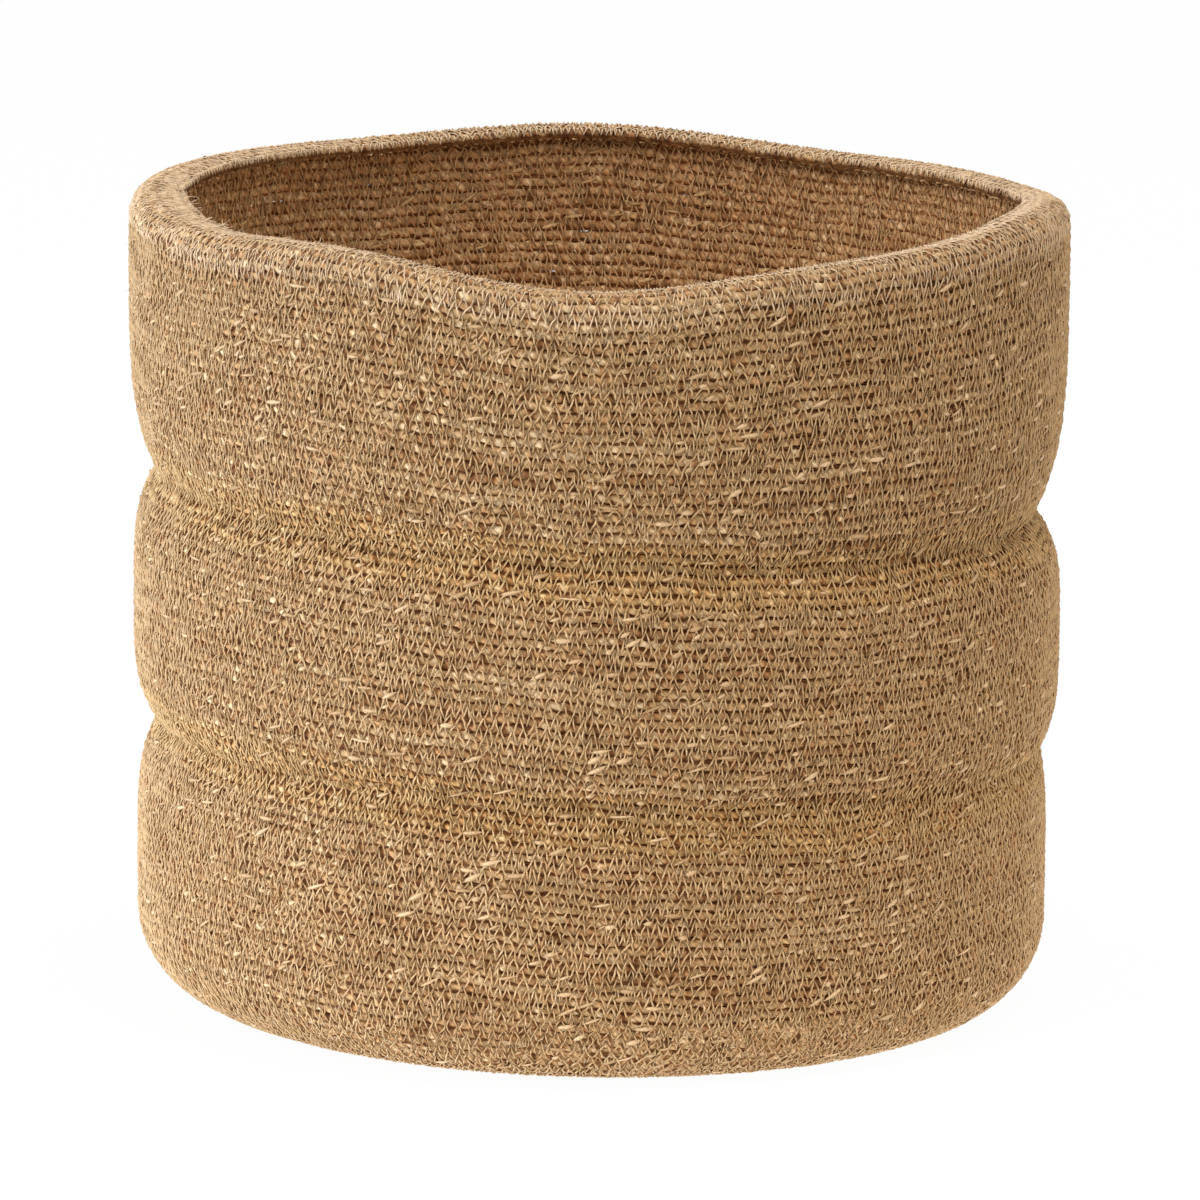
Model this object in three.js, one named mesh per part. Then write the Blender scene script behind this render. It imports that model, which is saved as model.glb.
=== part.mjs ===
import * as THREE from 'three';

// A seagrass basket in millimetres, +Z up. The middle of its underside is at the origin.
// One long cord is coiled flat into the base, bends up round the heel, climbs the wall in a
// helix, rolls over the shoulder and ends as a flat lip inside the mouth. Each turn of the
// cord is a course, sewn to the course before it. Two waists are drawn in, so the wall
// stands as three bellies. Each band below is a run of courses of that same cord.

// The cord and how closely its courses lie
const cordThickness = 3.0;
const grooveDepth = 0.6;
const clearance = 0.3;

// From one course to the next up to the lower waist, from there to the upper waist, and above
const lowerPitch = 2.7;
const middlePitch = 2.95;
const upperPitch = 3.2;

// Heights of the wall
const rimHeight = 242.85;
const lowerWaistHeight = 82.4;
const upperWaistHeight = 155.0;

// Outer radius of the middle belly. The lower belly is narrower, the upper one wider, and the
// two waists between the three are drawn in.
const bellyRadius = 139.6;
const lowerBellyTaper = 2.2;
const upperBellyFlare = 1.2;
const lowerWaistDepth = 6.0;
const upperWaistDepth = 6.8;

// The rounded heel, the rounded shoulder and the lip turned in from it
const heelRadius = 23.0;
const shoulderRadius = 6.5;
const lipWidth = 14.6;
const lipDroopDegrees = 6.5;

// The flat start of the coil in the middle of the base
const centreRadius = 13.0;

// How far each waist's band of closely sewn courses reaches to either side of it
const waistReach = 9.5;

// A hand-made basket leans and waves: the size of each wave, then its shape round the basket
const lean = 2.1;
const rimWave = 3.0;
const rimWaveShares = [
  [1, 0.96, 121], [2, 0.65, -18], [3, 0.77, -23], [4, 0.25, -26],
  [5, 0.3, 18], [6, 0.19, -10], [7, 0.21, -16],
];
const upperWaistWave = 6.9;
const upperWaistWaveShares = [[1, 1.0, 180]];
const lowerWaistWave = 4.65;
const lowerWaistWaveShares = [[1, 1.0, 180], [2, 0.22, 90]];
const upperBellySwell = 1.1;
const upperBellySwellShares = [[2, 1.0, -24], [3, 0.4, 41], [4, 0.6, -33]];
const upperWaistSwell = 1.0;
const upperWaistSwellShares = [[1, 1.0, 180], [2, 1.2, 100]];
const lowerWaistSwell = 0.9;
const lowerWaistSwellShares = [[1, 1.0, 0], [2, 0.7, 90]];
const lowerBellySwell = 1.0;
const lowerBellySwellShares = [[1, 1.0, 180]];
const heelSwell = 6.5;
const heelSwellShares = [[2, 1.0, 27]];
const lipSwell = 1.0;
const lipSwellShares = [[1, 1.0, 190]];

// How flat a belly's side is before it turns in to the waist, as a power of the way there
const bellyFlatness = 4.2;
const topBellyFlatness = 5.0;

// Where one course hands over to the next, and the facets round a course
const seamDegrees = 205;
const columns = 32;
const rowsPerCourse = 2;
const coursesPerInnerRow = 4;
const coursesPerBaseRow = 12;

const radians = THREE.MathUtils.degToRad;
const mix = THREE.MathUtils.lerp;

// The sum of a wave's terms at an angle: times round, share of its size, degrees of its peak
function wave(angle, size, termShares) {
  let sum = 0;
  for (const [times, share, peak] of termShares) {
    sum += size * share * Math.cos(times * (angle - radians(peak)));
  }
  return sum;
}

// The bulge of a belly between two waists, 0 at either waist and 1 half way
function swell(height, from, to, flatness) {
  const half = (to - from) / 2;
  const away = Math.min(Math.abs(height - from - half) / half, 1);
  return 1 - away ** flatness;
}

const shoulderStart = rimHeight - shoulderRadius;
const lowerBellyRadius = bellyRadius - lowerBellyTaper;
const upperBellyRadius = bellyRadius + upperBellyFlare;
const lowerWaistRadius = bellyRadius - lowerWaistDepth;
const upperWaistRadius = bellyRadius - upperWaistDepth;

// The outer radius of the wall at an angle and a nominal height
function wallRadius(angle, height) {
  const lowerWaist = lowerWaistRadius + wave(angle, lowerWaistSwell, lowerWaistSwellShares);
  const upperWaist = upperWaistRadius + wave(angle, upperWaistSwell, upperWaistSwellShares);
  if (height <= lowerWaistHeight) {
    const lowerBelly = lowerBellyRadius + wave(angle, lowerBellySwell, lowerBellySwellShares);
    return mix(lowerWaist, lowerBelly, swell(height, 0, lowerWaistHeight, bellyFlatness));
  }
  if (height <= upperWaistHeight) {
    const bulge = swell(height, lowerWaistHeight, upperWaistHeight, bellyFlatness);
    const way = (height - lowerWaistHeight) / (upperWaistHeight - lowerWaistHeight);
    return mix(mix(lowerWaist, upperWaist, way), bellyRadius, bulge);
  }
  const upperBelly = upperBellyRadius + wave(angle, upperBellySwell, upperBellySwellShares);
  const away = Math.max((shoulderStart - height) / (shoulderStart - upperWaistHeight), 0);
  return mix(upperWaist, upperBelly, 1 - away ** topBellyFlatness);
}

// How far the courses at a nominal height are lifted at an angle
function lift(angle, height) {
  const lower = wave(angle, lowerWaistWave, lowerWaistWaveShares);
  const upper = wave(angle, upperWaistWave, upperWaistWaveShares);
  const rim = wave(angle, rimWave, rimWaveShares);
  if (height <= lowerWaistHeight) return mix(0, lower, Math.max(height, 0) / lowerWaistHeight);
  if (height <= upperWaistHeight) {
    return mix(lower, upper, (height - lowerWaistHeight) / (upperWaistHeight - lowerWaistHeight));
  }
  const way = Math.min((height - upperWaistHeight) / (rimHeight - upperWaistHeight), 1);
  return mix(upper, rim, way);
}

// The run is the way along the outer face from the middle of the base to the lip's edge
const baseEnd = lowerBellyRadius - heelRadius;
const heelEnd = baseEnd + heelRadius * Math.PI / 2;
const wallEnd = heelEnd + shoulderStart - heelRadius;
const shoulderEnd = wallEnd + shoulderRadius * radians(90 + lipDroopDegrees);
const lipEnd = shoulderEnd + lipWidth - shoulderRadius;

// The run at a height of the wall
const wallRun = (height) => heelEnd + height - heelRadius;
const lowerWaistRun = wallRun(lowerWaistHeight);
const upperWaistRun = wallRun(upperWaistHeight);

// How many courses reach up to each waist
const lowerWaistCourse = lowerWaistRun / lowerPitch;
const upperWaistCourse = lowerWaistCourse + (upperWaistRun - lowerWaistRun) / middlePitch;

// The run that so many courses reach, and how many courses reach a run
function runAt(course) {
  if (course <= lowerWaistCourse) return course * lowerPitch;
  if (course <= upperWaistCourse) return lowerWaistRun + (course - lowerWaistCourse) * middlePitch;
  return upperWaistRun + (course - upperWaistCourse) * upperPitch;
}

function courseAt(run) {
  if (run <= lowerWaistRun) return run / lowerPitch;
  if (run <= upperWaistRun) return lowerWaistCourse + (run - lowerWaistRun) / middlePitch;
  return upperWaistCourse + (run - upperWaistRun) / upperPitch;
}

// The outer face at an angle and a run: its radius, its height and the way it looks
function outerFace(angle, run) {
  const heel = heelRadius + wave(angle, heelSwell, heelSwellShares);
  const foot = wallRadius(angle, heel) - heel;
  if (run <= baseEnd) return { radius: foot * run / baseEnd, height: 0, out: 0, up: -1 };
  if (run <= heelEnd) {
    const bend = (run - baseEnd) / (heelEnd - baseEnd) * Math.PI / 2;
    const out = Math.sin(bend);
    const up = -Math.cos(bend);
    return { radius: foot + heel * out, height: heel + heel * up, out, up };
  }
  if (run <= wallEnd) {
    const height = mix(heel, shoulderStart, (run - heelEnd) / (wallEnd - heelEnd));
    return { radius: wallRadius(angle, height), height, out: 1, up: 0 };
  }
  const shoulderMiddle = wallRadius(angle, shoulderStart) - shoulderRadius;
  const bend = Math.min((run - wallEnd) / shoulderRadius, radians(90 + lipDroopDegrees));
  const out = Math.cos(bend);
  const up = Math.sin(bend);
  const flatWidth = lipWidth - shoulderRadius + wave(angle, lipSwell, lipSwellShares);
  const inward = flatWidth * Math.max(run - shoulderEnd, 0) / (lipEnd - shoulderEnd);
  return {
    radius: shoulderMiddle + shoulderRadius * out - inward * up,
    height: shoulderStart + shoulderRadius * up + inward * out,
    out,
    up,
  };
}

// The point at an angle and a run, some depth under the outer face, in the basket's frame
function spot(angle, run, depth) {
  const face = outerFace(angle, run);
  const radius = face.radius - depth * face.out;
  const height = face.height - depth * face.up;
  const shift = lean * height / rimHeight;
  return [
    radius * Math.cos(angle) + shift,
    radius * Math.sin(angle),
    height + lift(angle, height),
  ];
}

const columnAngle = (column) => radians(seamDegrees) + column / columns * 2 * Math.PI;

// Collects corners and triangles of one closed body
class Shell {
  constructor() {
    this.corners = [];
    this.triangles = [];
  }

  corner(point) {
    this.corners.push(...point);
    return this.corners.length / 3 - 1;
  }

  // One corner in each column, at the run and depth that a rule gives for the column
  ring(rule) {
    return Array.from({ length: columns }, (_, column) => {
      const { run, depth } = rule(column);
      return this.corner(spot(columnAngle(column), run, depth));
    });
  }

  triangle(a, b, c) {
    this.triangles.push(a, b, c);
  }

  // A four-sided facet from its corners, in order round it as seen from outside
  facet(a, b, c, d) {
    this.triangle(a, b, c);
    this.triangle(a, c, d);
  }

  // The strip of facets between two rings, seen from outside with the second ring above.
  // Each facet is split from its first corner below, or from the first one above, so that
  // two edges that face each other across a gap can be split along the same corners.
  strip(below, above, splitFromAbove = false) {
    for (let column = 0; column < columns; column += 1) {
      const next = (column + 1) % columns;
      if (splitFromAbove) this.facet(above[column], below[column], below[next], above[next]);
      else this.facet(below[column], below[next], above[next], above[column]);
    }
  }

  geometry() {
    const geometry = new THREE.BufferGeometry();
    geometry.setAttribute('position', new THREE.Float32BufferAttribute(this.corners, 3));
    geometry.setIndex(this.triangles);
    geometry.computeVertexNormals();
    return geometry;
  }
}

// The run of a course's lower seam at a column: it climbs one course in each turn
const courseRun = (course, column) => runAt(course + column / columns);

// The ribbed outer side of a band, a rib to each course with a groove at each seam. Each row
// climbs with the cord, so past the last column a row meets the row one course higher, and
// the first and last courses taper out over one column.
function ribbedRows(shell, firstCourse, lastCourse) {
  const rowCount = (lastCourse - firstCourse) * rowsPerCourse;
  const rows = [];
  for (let row = 0; row <= rowCount; row += 1) {
    let inset = 0;
    if (row === 0) inset = clearance / 2;
    if (row === rowCount) inset = -clearance / 2;
    const depth = row % rowsPerCourse === 0 ? grooveDepth : 0;
    rows.push(shell.ring((column) => (
      { run: courseRun(firstCourse + row / rowsPerCourse, column) + inset, depth }
    )));
  }
  const last = columns - 1;
  for (let row = 0; row < rowCount; row += 1) {
    for (let column = 0; column < last; column += 1) {
      const next = column + 1;
      shell.facet(rows[row][column], rows[row][next], rows[row + 1][next], rows[row + 1][column]);
    }
  }
  for (let row = 0; row < rowCount - rowsPerCourse; row += 1) {
    const higher = row + rowsPerCourse;
    shell.facet(rows[row][last], rows[higher][0], rows[higher + 1][0], rows[row + 1][last]);
  }
  for (let step = 0; step < rowsPerCourse; step += 1) {
    const row = rowCount - rowsPerCourse + step;
    shell.triangle(rows[0][last], rows[step][0], rows[step + 1][0]);
    shell.triangle(rows[rowCount][0], rows[row + 1][last], rows[row][last]);
  }
  return { bottom: rows[0], top: rows[rowCount] };
}

// A smooth side of a band at one depth. Its two edges still climb with the cord, and level
// rings lie between them, about so many courses apart.
function smoothRows(shell, firstCourse, lastCourse, { depth, outwards, coursesApart }) {
  const rings = [shell.ring((column) => (
    { run: courseRun(firstCourse, column) + clearance / 2, depth }
  ))];
  const levelCourses = lastCourse - firstCourse - 1;
  const levelRings = Math.floor(levelCourses / coursesApart);
  for (let ring = 0; ring < levelRings; ring += 1) {
    const course = firstCourse + 1 + levelCourses * (ring + 1 / 2) / levelRings;
    rings.push(shell.ring(() => ({ run: runAt(course), depth })));
  }
  rings.push(shell.ring((column) => (
    { run: courseRun(lastCourse, column) - clearance / 2, depth }
  )));
  for (let row = 1; row < rings.length; row += 1) {
    if (outwards) shell.strip(rings[row - 1], rings[row]);
    else shell.strip(rings[row], rings[row - 1]);
  }
  return { bottom: rings[0], top: rings[rings.length - 1] };
}

// A band of courses: its outer side, its inner side and the two climbing edges
function courseBand({ firstCourse, lastCourse, ribbed }) {
  const shell = new Shell();
  const coursesApart = ribbed ? coursesPerInnerRow : coursesPerBaseRow;
  const outer = ribbed
    ? ribbedRows(shell, firstCourse, lastCourse)
    : smoothRows(shell, firstCourse, lastCourse, { depth: 0, outwards: true, coursesApart });
  const inner = smoothRows(
    shell,
    firstCourse,
    lastCourse,
    { depth: cordThickness, outwards: false, coursesApart },
  );
  shell.strip(inner.bottom, outer.bottom, true);
  shell.strip(outer.top, inner.top);
  return shell.geometry();
}

// The middle of the base, where the coil starts: a disc whose edge climbs with the cord
function coilCentre({ lastCourse }) {
  const shell = new Shell();
  const edgeRun = (column) => courseRun(lastCourse, column) - clearance / 2;
  const underside = shell.ring((column) => ({ run: edgeRun(column), depth: 0 }));
  const upperSide = shell.ring((column) => ({ run: edgeRun(column), depth: cordThickness }));
  const lowerMiddle = shell.corner(spot(0, 0, 0));
  const upperMiddle = shell.corner(spot(0, 0, cordThickness));
  for (let column = 0; column < columns; column += 1) {
    const next = (column + 1) % columns;
    shell.triangle(lowerMiddle, underside[next], underside[column]);
    shell.triangle(upperMiddle, upperSide[column], upperSide[next]);
  }
  shell.strip(underside, upperSide);
  return shell.geometry();
}

const bands = [
  { name: 'base_disc', end: baseEnd, colour: 0x9a7650, ribbed: false },
  { name: 'heel', end: heelEnd, colour: 0xa88258, ribbed: true },
  { name: 'lower_belly', end: wallRun(lowerWaistHeight - waistReach), colour: 0xb08a5e, ribbed: true },
  { name: 'lower_waist', end: wallRun(lowerWaistHeight + waistReach), colour: 0xb8935f, ribbed: true },
  { name: 'middle_belly', end: wallRun(upperWaistHeight - waistReach), colour: 0xa8845a, ribbed: true },
  { name: 'upper_waist', end: wallRun(upperWaistHeight + waistReach), colour: 0xb28d5c, ribbed: true },
  { name: 'upper_belly', end: wallEnd, colour: 0xa68056, ribbed: true },
  { name: 'rim_shoulder', end: shoulderEnd, colour: 0xb9966a, ribbed: true },
  { name: 'rim_lip', end: lipEnd, colour: 0xc4a378, ribbed: true },
];

function piece(name, geometry, colour) {
  const material = new THREE.MeshStandardMaterial({ color: colour, roughness: 0.85, metalness: 0 });
  const mesh = new THREE.Mesh(geometry, material);
  mesh.name = name;
  return mesh;
}

const basket = new THREE.Group();
let firstCourse = Math.floor(courseAt(centreRadius));
basket.add(piece('base_centre', coilCentre({ lastCourse: firstCourse }), 0x8e6c49));
for (const { name, end, colour, ribbed } of bands) {
  const lastCourse = Math.floor(courseAt(end));
  basket.add(piece(name, courseBand({ firstCourse, lastCourse, ribbed }), colour));
  firstCourse = lastCourse;
}

export default basket;
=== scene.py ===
"""Dresses a seagrass basket: one twisted cord, coiled and sewn with thread in zigzags.

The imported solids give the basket's bands. Each band is dressed with its own run of the cord,
the needle thread outside, the looper thread inside and the loose ends of grass that stand
out of the cord. All lengths are in metres, +Z is up and the basket stands at the origin.
"""

import logging
import math
from dataclasses import dataclass, field, replace
from enum import Enum

import bpy
import numpy as np
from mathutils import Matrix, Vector

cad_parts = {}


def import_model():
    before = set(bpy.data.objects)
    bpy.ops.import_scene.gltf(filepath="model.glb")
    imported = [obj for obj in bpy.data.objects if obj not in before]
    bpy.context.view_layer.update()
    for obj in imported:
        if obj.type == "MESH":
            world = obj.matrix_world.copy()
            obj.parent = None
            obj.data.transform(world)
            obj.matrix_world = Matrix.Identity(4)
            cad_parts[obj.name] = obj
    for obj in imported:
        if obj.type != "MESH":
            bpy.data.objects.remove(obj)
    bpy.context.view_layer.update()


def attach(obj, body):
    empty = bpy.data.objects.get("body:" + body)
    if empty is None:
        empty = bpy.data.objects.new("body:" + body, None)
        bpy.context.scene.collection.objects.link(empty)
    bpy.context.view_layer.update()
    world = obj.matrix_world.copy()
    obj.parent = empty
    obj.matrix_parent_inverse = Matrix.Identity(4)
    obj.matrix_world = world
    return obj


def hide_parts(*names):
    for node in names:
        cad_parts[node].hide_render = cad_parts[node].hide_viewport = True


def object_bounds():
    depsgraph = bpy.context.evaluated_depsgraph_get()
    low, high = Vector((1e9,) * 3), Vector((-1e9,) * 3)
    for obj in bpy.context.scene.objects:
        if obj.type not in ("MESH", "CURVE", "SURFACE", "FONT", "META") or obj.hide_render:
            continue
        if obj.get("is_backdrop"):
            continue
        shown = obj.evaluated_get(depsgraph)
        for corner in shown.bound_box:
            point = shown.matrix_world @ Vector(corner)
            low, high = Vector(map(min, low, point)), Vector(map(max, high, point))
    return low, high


LOG = logging.getLogger("basket")
MM = 0.001
FULL_TURN = 2 * math.pi
ROOT_BODY = "root"

Colour = tuple[float, float, float]
Span = tuple[float, float]
Socket = bpy.types.NodeSocket
Sockets = dict[str, Socket]
Value = float | int | bool | str | tuple | Socket | bpy.types.ID
Inputs = dict[str | int, Value]

# Nearly all of a noise's values lie in this span, round this middle.
NOISE_REACH = (0.3, 0.7)
NOISE_MIDDLE = 0.5
# A noise's detail where its lumps are plain, and where they have smaller lumps on them.
PLAIN = 1.0
ROUGH = 3.0
# Places across a course of the cord: its lower seam and its middle.
SEAM = 0.0
MIDDLE = 0.5


@dataclass(frozen=True)
class Wave:
    """A slow unevenness round the basket, as a size in metres and its cosines.

    Each cosine says how often it comes round, its share of the size and its peak in degrees.
    """

    size: float
    terms: tuple[tuple[int, float, float], ...]

    def at(self, angle: np.ndarray) -> np.ndarray:
        """The wave's height at some angles in radians."""
        terms = ((times, self.size * share, math.radians(peak)) for times, share, peak in self.terms)
        return sum(height * np.cos(times * (angle - peak)) for times, height, peak in terms)


@dataclass(frozen=True)
class BasketForm:
    """The basket's sizes, and where its outer face lies at an angle and a run.

    The run is the way along the outer face from the middle of the base to the lip's edge.
    """

    cord_thickness: float = 3.0 * MM
    lower_pitch: float = 2.7 * MM
    middle_pitch: float = 2.95 * MM
    upper_pitch: float = 3.2 * MM
    rim_height: float = 242.85 * MM
    lower_waist_height: float = 82.4 * MM
    upper_waist_height: float = 155.0 * MM
    lower_belly_radius: float = 137.4 * MM
    middle_belly_radius: float = 139.6 * MM
    upper_belly_radius: float = 140.8 * MM
    lower_waist_radius: float = 133.6 * MM
    upper_waist_radius: float = 132.8 * MM
    heel_radius: float = 23.0 * MM
    shoulder_radius: float = 6.5 * MM
    lip_width: float = 14.6 * MM
    lip_droop: float = math.radians(6.5)
    centre_radius: float = 13.0 * MM
    waist_reach: float = 9.5 * MM
    belly_flatness: float = 4.2
    top_belly_flatness: float = 5.0
    lean: float = 2.1 * MM
    seam_angle: float = math.radians(205)
    rim_wave: Wave = Wave(
        3.0 * MM,
        (
            (1, 0.96, 121),
            (2, 0.65, -18),
            (3, 0.77, -23),
            (4, 0.25, -26),
            (5, 0.3, 18),
            (6, 0.19, -10),
            (7, 0.21, -16),
        ),
    )
    upper_waist_wave: Wave = Wave(6.9 * MM, ((1, 1.0, 180),))
    lower_waist_wave: Wave = Wave(4.65 * MM, ((1, 1.0, 180), (2, 0.22, 90)))
    upper_belly_swell: Wave = Wave(1.1 * MM, ((2, 1.0, -24), (3, 0.4, 41), (4, 0.6, -33)))
    upper_waist_swell: Wave = Wave(1.0 * MM, ((1, 1.0, 180), (2, 1.2, 100)))
    lower_waist_swell: Wave = Wave(0.9 * MM, ((1, 1.0, 0), (2, 0.7, 90)))
    lower_belly_swell: Wave = Wave(1.0 * MM, ((1, 1.0, 180),))
    heel_swell: Wave = Wave(6.5 * MM, ((2, 1.0, 27),))
    lip_swell: Wave = Wave(1.0 * MM, ((1, 1.0, 190),))
    course_wander: float = 0.28 * MM
    wander_terms: tuple[tuple[int, float, float], ...] = (
        (9, 14 * MM, 0.0),
        (17, -9 * MM, 1.0),
        (31, 5 * MM, 2.0),
    )

    @property
    def shoulder_start(self) -> float:
        """Height at which the wall starts to roll over."""
        return self.rim_height - self.shoulder_radius

    @property
    def base_end(self) -> float:
        """Run at the edge of the flat base."""
        return self.lower_belly_radius - self.heel_radius

    @property
    def heel_end(self) -> float:
        """Run at the top of the heel."""
        return self.base_end + self.heel_radius * math.pi / 2

    @property
    def wall_end(self) -> float:
        """Run at the top of the wall."""
        return self.heel_end + self.shoulder_start - self.heel_radius

    @property
    def shoulder_turn(self) -> float:
        """Angle that the shoulder rolls through."""
        return math.pi / 2 + self.lip_droop

    @property
    def shoulder_end(self) -> float:
        """Run at the end of the rolled shoulder."""
        return self.wall_end + self.shoulder_radius * self.shoulder_turn

    @property
    def lip_end(self) -> float:
        """Run at the lip's inner edge."""
        return self.shoulder_end + self.lip_width - self.shoulder_radius

    def wall_run(self, height: float) -> float:
        """Run at a height of the wall."""
        return self.heel_end + height - self.heel_radius

    @property
    def course_marks(self) -> tuple[list[float], list[float]]:
        """The places at which the courses' pitch changes.

        Returns:
            The courses up to each place, and the runs there, from 0 to far past the lip.
        """
        heights = (self.lower_waist_height, self.upper_waist_height)
        runs = [0.0, *(self.wall_run(height) for height in heights), 2 * self.lip_end]
        pitches = (self.lower_pitch, self.middle_pitch, self.upper_pitch)
        courses = [0.0]
        for low, high, pitch in zip(runs, runs[1:], pitches):
            courses.append(courses[-1] + (high - low) / pitch)
        return courses, runs

    def run_at(self, course: np.ndarray) -> np.ndarray:
        """The runs that so many courses reach."""
        return np.interp(course, *self.course_marks)

    def course_at(self, run: float) -> int:
        """How many whole courses fit below a run."""
        courses, runs = self.course_marks
        return math.floor(np.interp(run, runs, courses))

    def wall_radius(self, angle: np.ndarray, height: np.ndarray) -> np.ndarray:
        """Outer radius of the wall, with its three bellies and two waists.

        Args:
            angle: Angles round the basket, in radians.
            height: Heights before the basket's lean and waves, in metres.

        Returns:
            The radius at each angle and height.
        """
        lower = self.lower_waist_radius + self.lower_waist_swell.at(angle)
        upper = self.upper_waist_radius + self.upper_waist_swell.at(angle)
        low_belly = self.lower_belly_radius + self.lower_belly_swell.at(angle)
        top_belly = self.upper_belly_radius + self.upper_belly_swell.at(angle)
        low, high = self.lower_waist_height, self.upper_waist_height
        first = np.abs(height / (low / 2) - 1).clip(0, 1) ** self.belly_flatness
        second = np.abs((height - low) / ((high - low) / 2) - 1).clip(0, 1) ** self.belly_flatness
        third = ((self.shoulder_start - height) / (self.shoulder_start - high)).clip(0, 1)
        third = third**self.top_belly_flatness
        way = ((height - low) / (high - low)).clip(0, 1)
        between = lower + (upper - lower) * way
        return np.select(
            [height <= low, height <= high],
            [
                low_belly + (lower - low_belly) * first,
                self.middle_belly_radius + (between - self.middle_belly_radius) * second,
            ],
            top_belly + (upper - top_belly) * third,
        )

    def lift(self, angle: np.ndarray, height: np.ndarray) -> np.ndarray:
        """How far the courses are lifted, since none of them lies quite level.

        Args:
            angle: Angles round the basket, in radians.
            height: Heights before the lift, in metres.

        Returns:
            The lift at each angle and height.
        """
        lower = self.lower_waist_wave.at(angle)
        upper = self.upper_waist_wave.at(angle)
        rim = self.rim_wave.at(angle)
        low, high = self.lower_waist_height, self.upper_waist_height
        first = (height / low).clip(0, 1)
        second = ((height - low) / (high - low)).clip(0, 1)
        third = ((height - high) / (self.rim_height - high)).clip(0, 1)
        return lower * first + (upper - lower) * second + (rim - upper) * third

    def outer_face(self, angle: np.ndarray, run: np.ndarray) -> tuple[np.ndarray, ...]:
        """The outer face at some angles and runs.

        Args:
            angle: Angles round the basket, in radians.
            run: Runs along the outer face, in metres.

        Returns:
            Radius, height, and the outward and upward parts of the face's normal.
        """
        heel = self.heel_radius + self.heel_swell.at(angle)
        foot = self.wall_radius(angle, heel) - heel
        heel_way = ((run - self.base_end) / (self.heel_end - self.base_end)).clip(0, 1)
        heel_bend = heel_way * math.pi / 2
        wall_way = ((run - self.heel_end) / (self.wall_end - self.heel_end)).clip(0, 1)
        wall_height = heel + (self.shoulder_start - heel) * wall_way
        wall_top = self.wall_radius(angle, np.full_like(angle, self.shoulder_start))
        middle = wall_top - self.shoulder_radius
        roll = ((run - self.wall_end) / self.shoulder_radius).clip(0, self.shoulder_turn)
        flat = self.lip_width - self.shoulder_radius + self.lip_swell.at(angle)
        lip_way = ((run - self.shoulder_end) / (self.lip_end - self.shoulder_end)).clip(0, None)
        none, whole = np.zeros_like(run), np.ones_like(run)
        where = [run <= self.base_end, run <= self.heel_end, run <= self.wall_end]
        out = np.select(where, [none, np.sin(heel_bend), whole], np.cos(roll))
        up = np.select(where, [-whole, -np.cos(heel_bend), none], np.sin(roll))
        radius = np.select(
            where,
            [foot * run / self.base_end, foot + heel * out, self.wall_radius(angle, wall_height)],
            middle + self.shoulder_radius * out - flat * lip_way * up,
        )
        height = np.select(
            where,
            [none, heel + heel * up, wall_height],
            self.shoulder_start + self.shoulder_radius * up + flat * lip_way * out,
        )
        return radius, height, out, up

    def spot(self, angle: np.ndarray, run: np.ndarray, depth: float | np.ndarray) -> np.ndarray:
        """Points some depth under the outer face.

        Args:
            angle: Angles round the basket, in radians.
            run: Runs along the outer face, in metres.
            depth: Depth under the outer face, in metres.

        Returns:
            An array of points, one row each.
        """
        radius, height, out, up = self.outer_face(angle, run)
        radius = radius - depth * out
        height = height - depth * up
        shift = self.lean * height / self.rim_height
        lifted = height + self.lift(angle, height)
        return np.stack([radius * np.cos(angle) + shift, radius * np.sin(angle), lifted], axis=1)

    def wandered(self, angle: np.ndarray, run: np.ndarray) -> np.ndarray:
        """Moves runs a little up or down, since a hand-laid course never runs quite true."""
        sways = (np.sin(times * angle + run / long + start) for times, long, start in self.wander_terms)
        return run + self.course_wander * sum(sways)

    def outward(self, angle: np.ndarray, run: np.ndarray) -> np.ndarray:
        """Unit vectors that point out of the outer face at some angles and runs."""
        _, _, out, up = self.outer_face(angle, run)
        return np.stack([out * np.cos(angle), out * np.sin(angle), up], axis=1)


class Side(Enum):
    """A face of the one-cord-thick wall, as the depth of that face in cords."""

    OUTSIDE = 0
    INSIDE = 1

    @property
    def way(self) -> int:
        """1 for the face that looks out of the basket, and -1 for the one that looks in."""
        return 1 - 2 * self.value


class Coil(Enum):
    """The kinds of ground that the cord covers, since each is sewn in its own way."""

    BASE = "base"
    WALL = "wall"
    WAIST = "waist"
    SHOULDER = "shoulder"
    LIP = "lip"


@dataclass(frozen=True)
class Band:
    """A run of courses between two whole courses of the cord, which one solid stands for."""

    node: str
    coil: Coil
    first_course: int
    last_course: int

    @property
    def slot(self) -> str:
        """The name of the material slot for the band."""
        return "rim_cord" if self.coil in (Coil.SHOULDER, Coil.LIP) else f"{self.coil.value}_cord"


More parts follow.
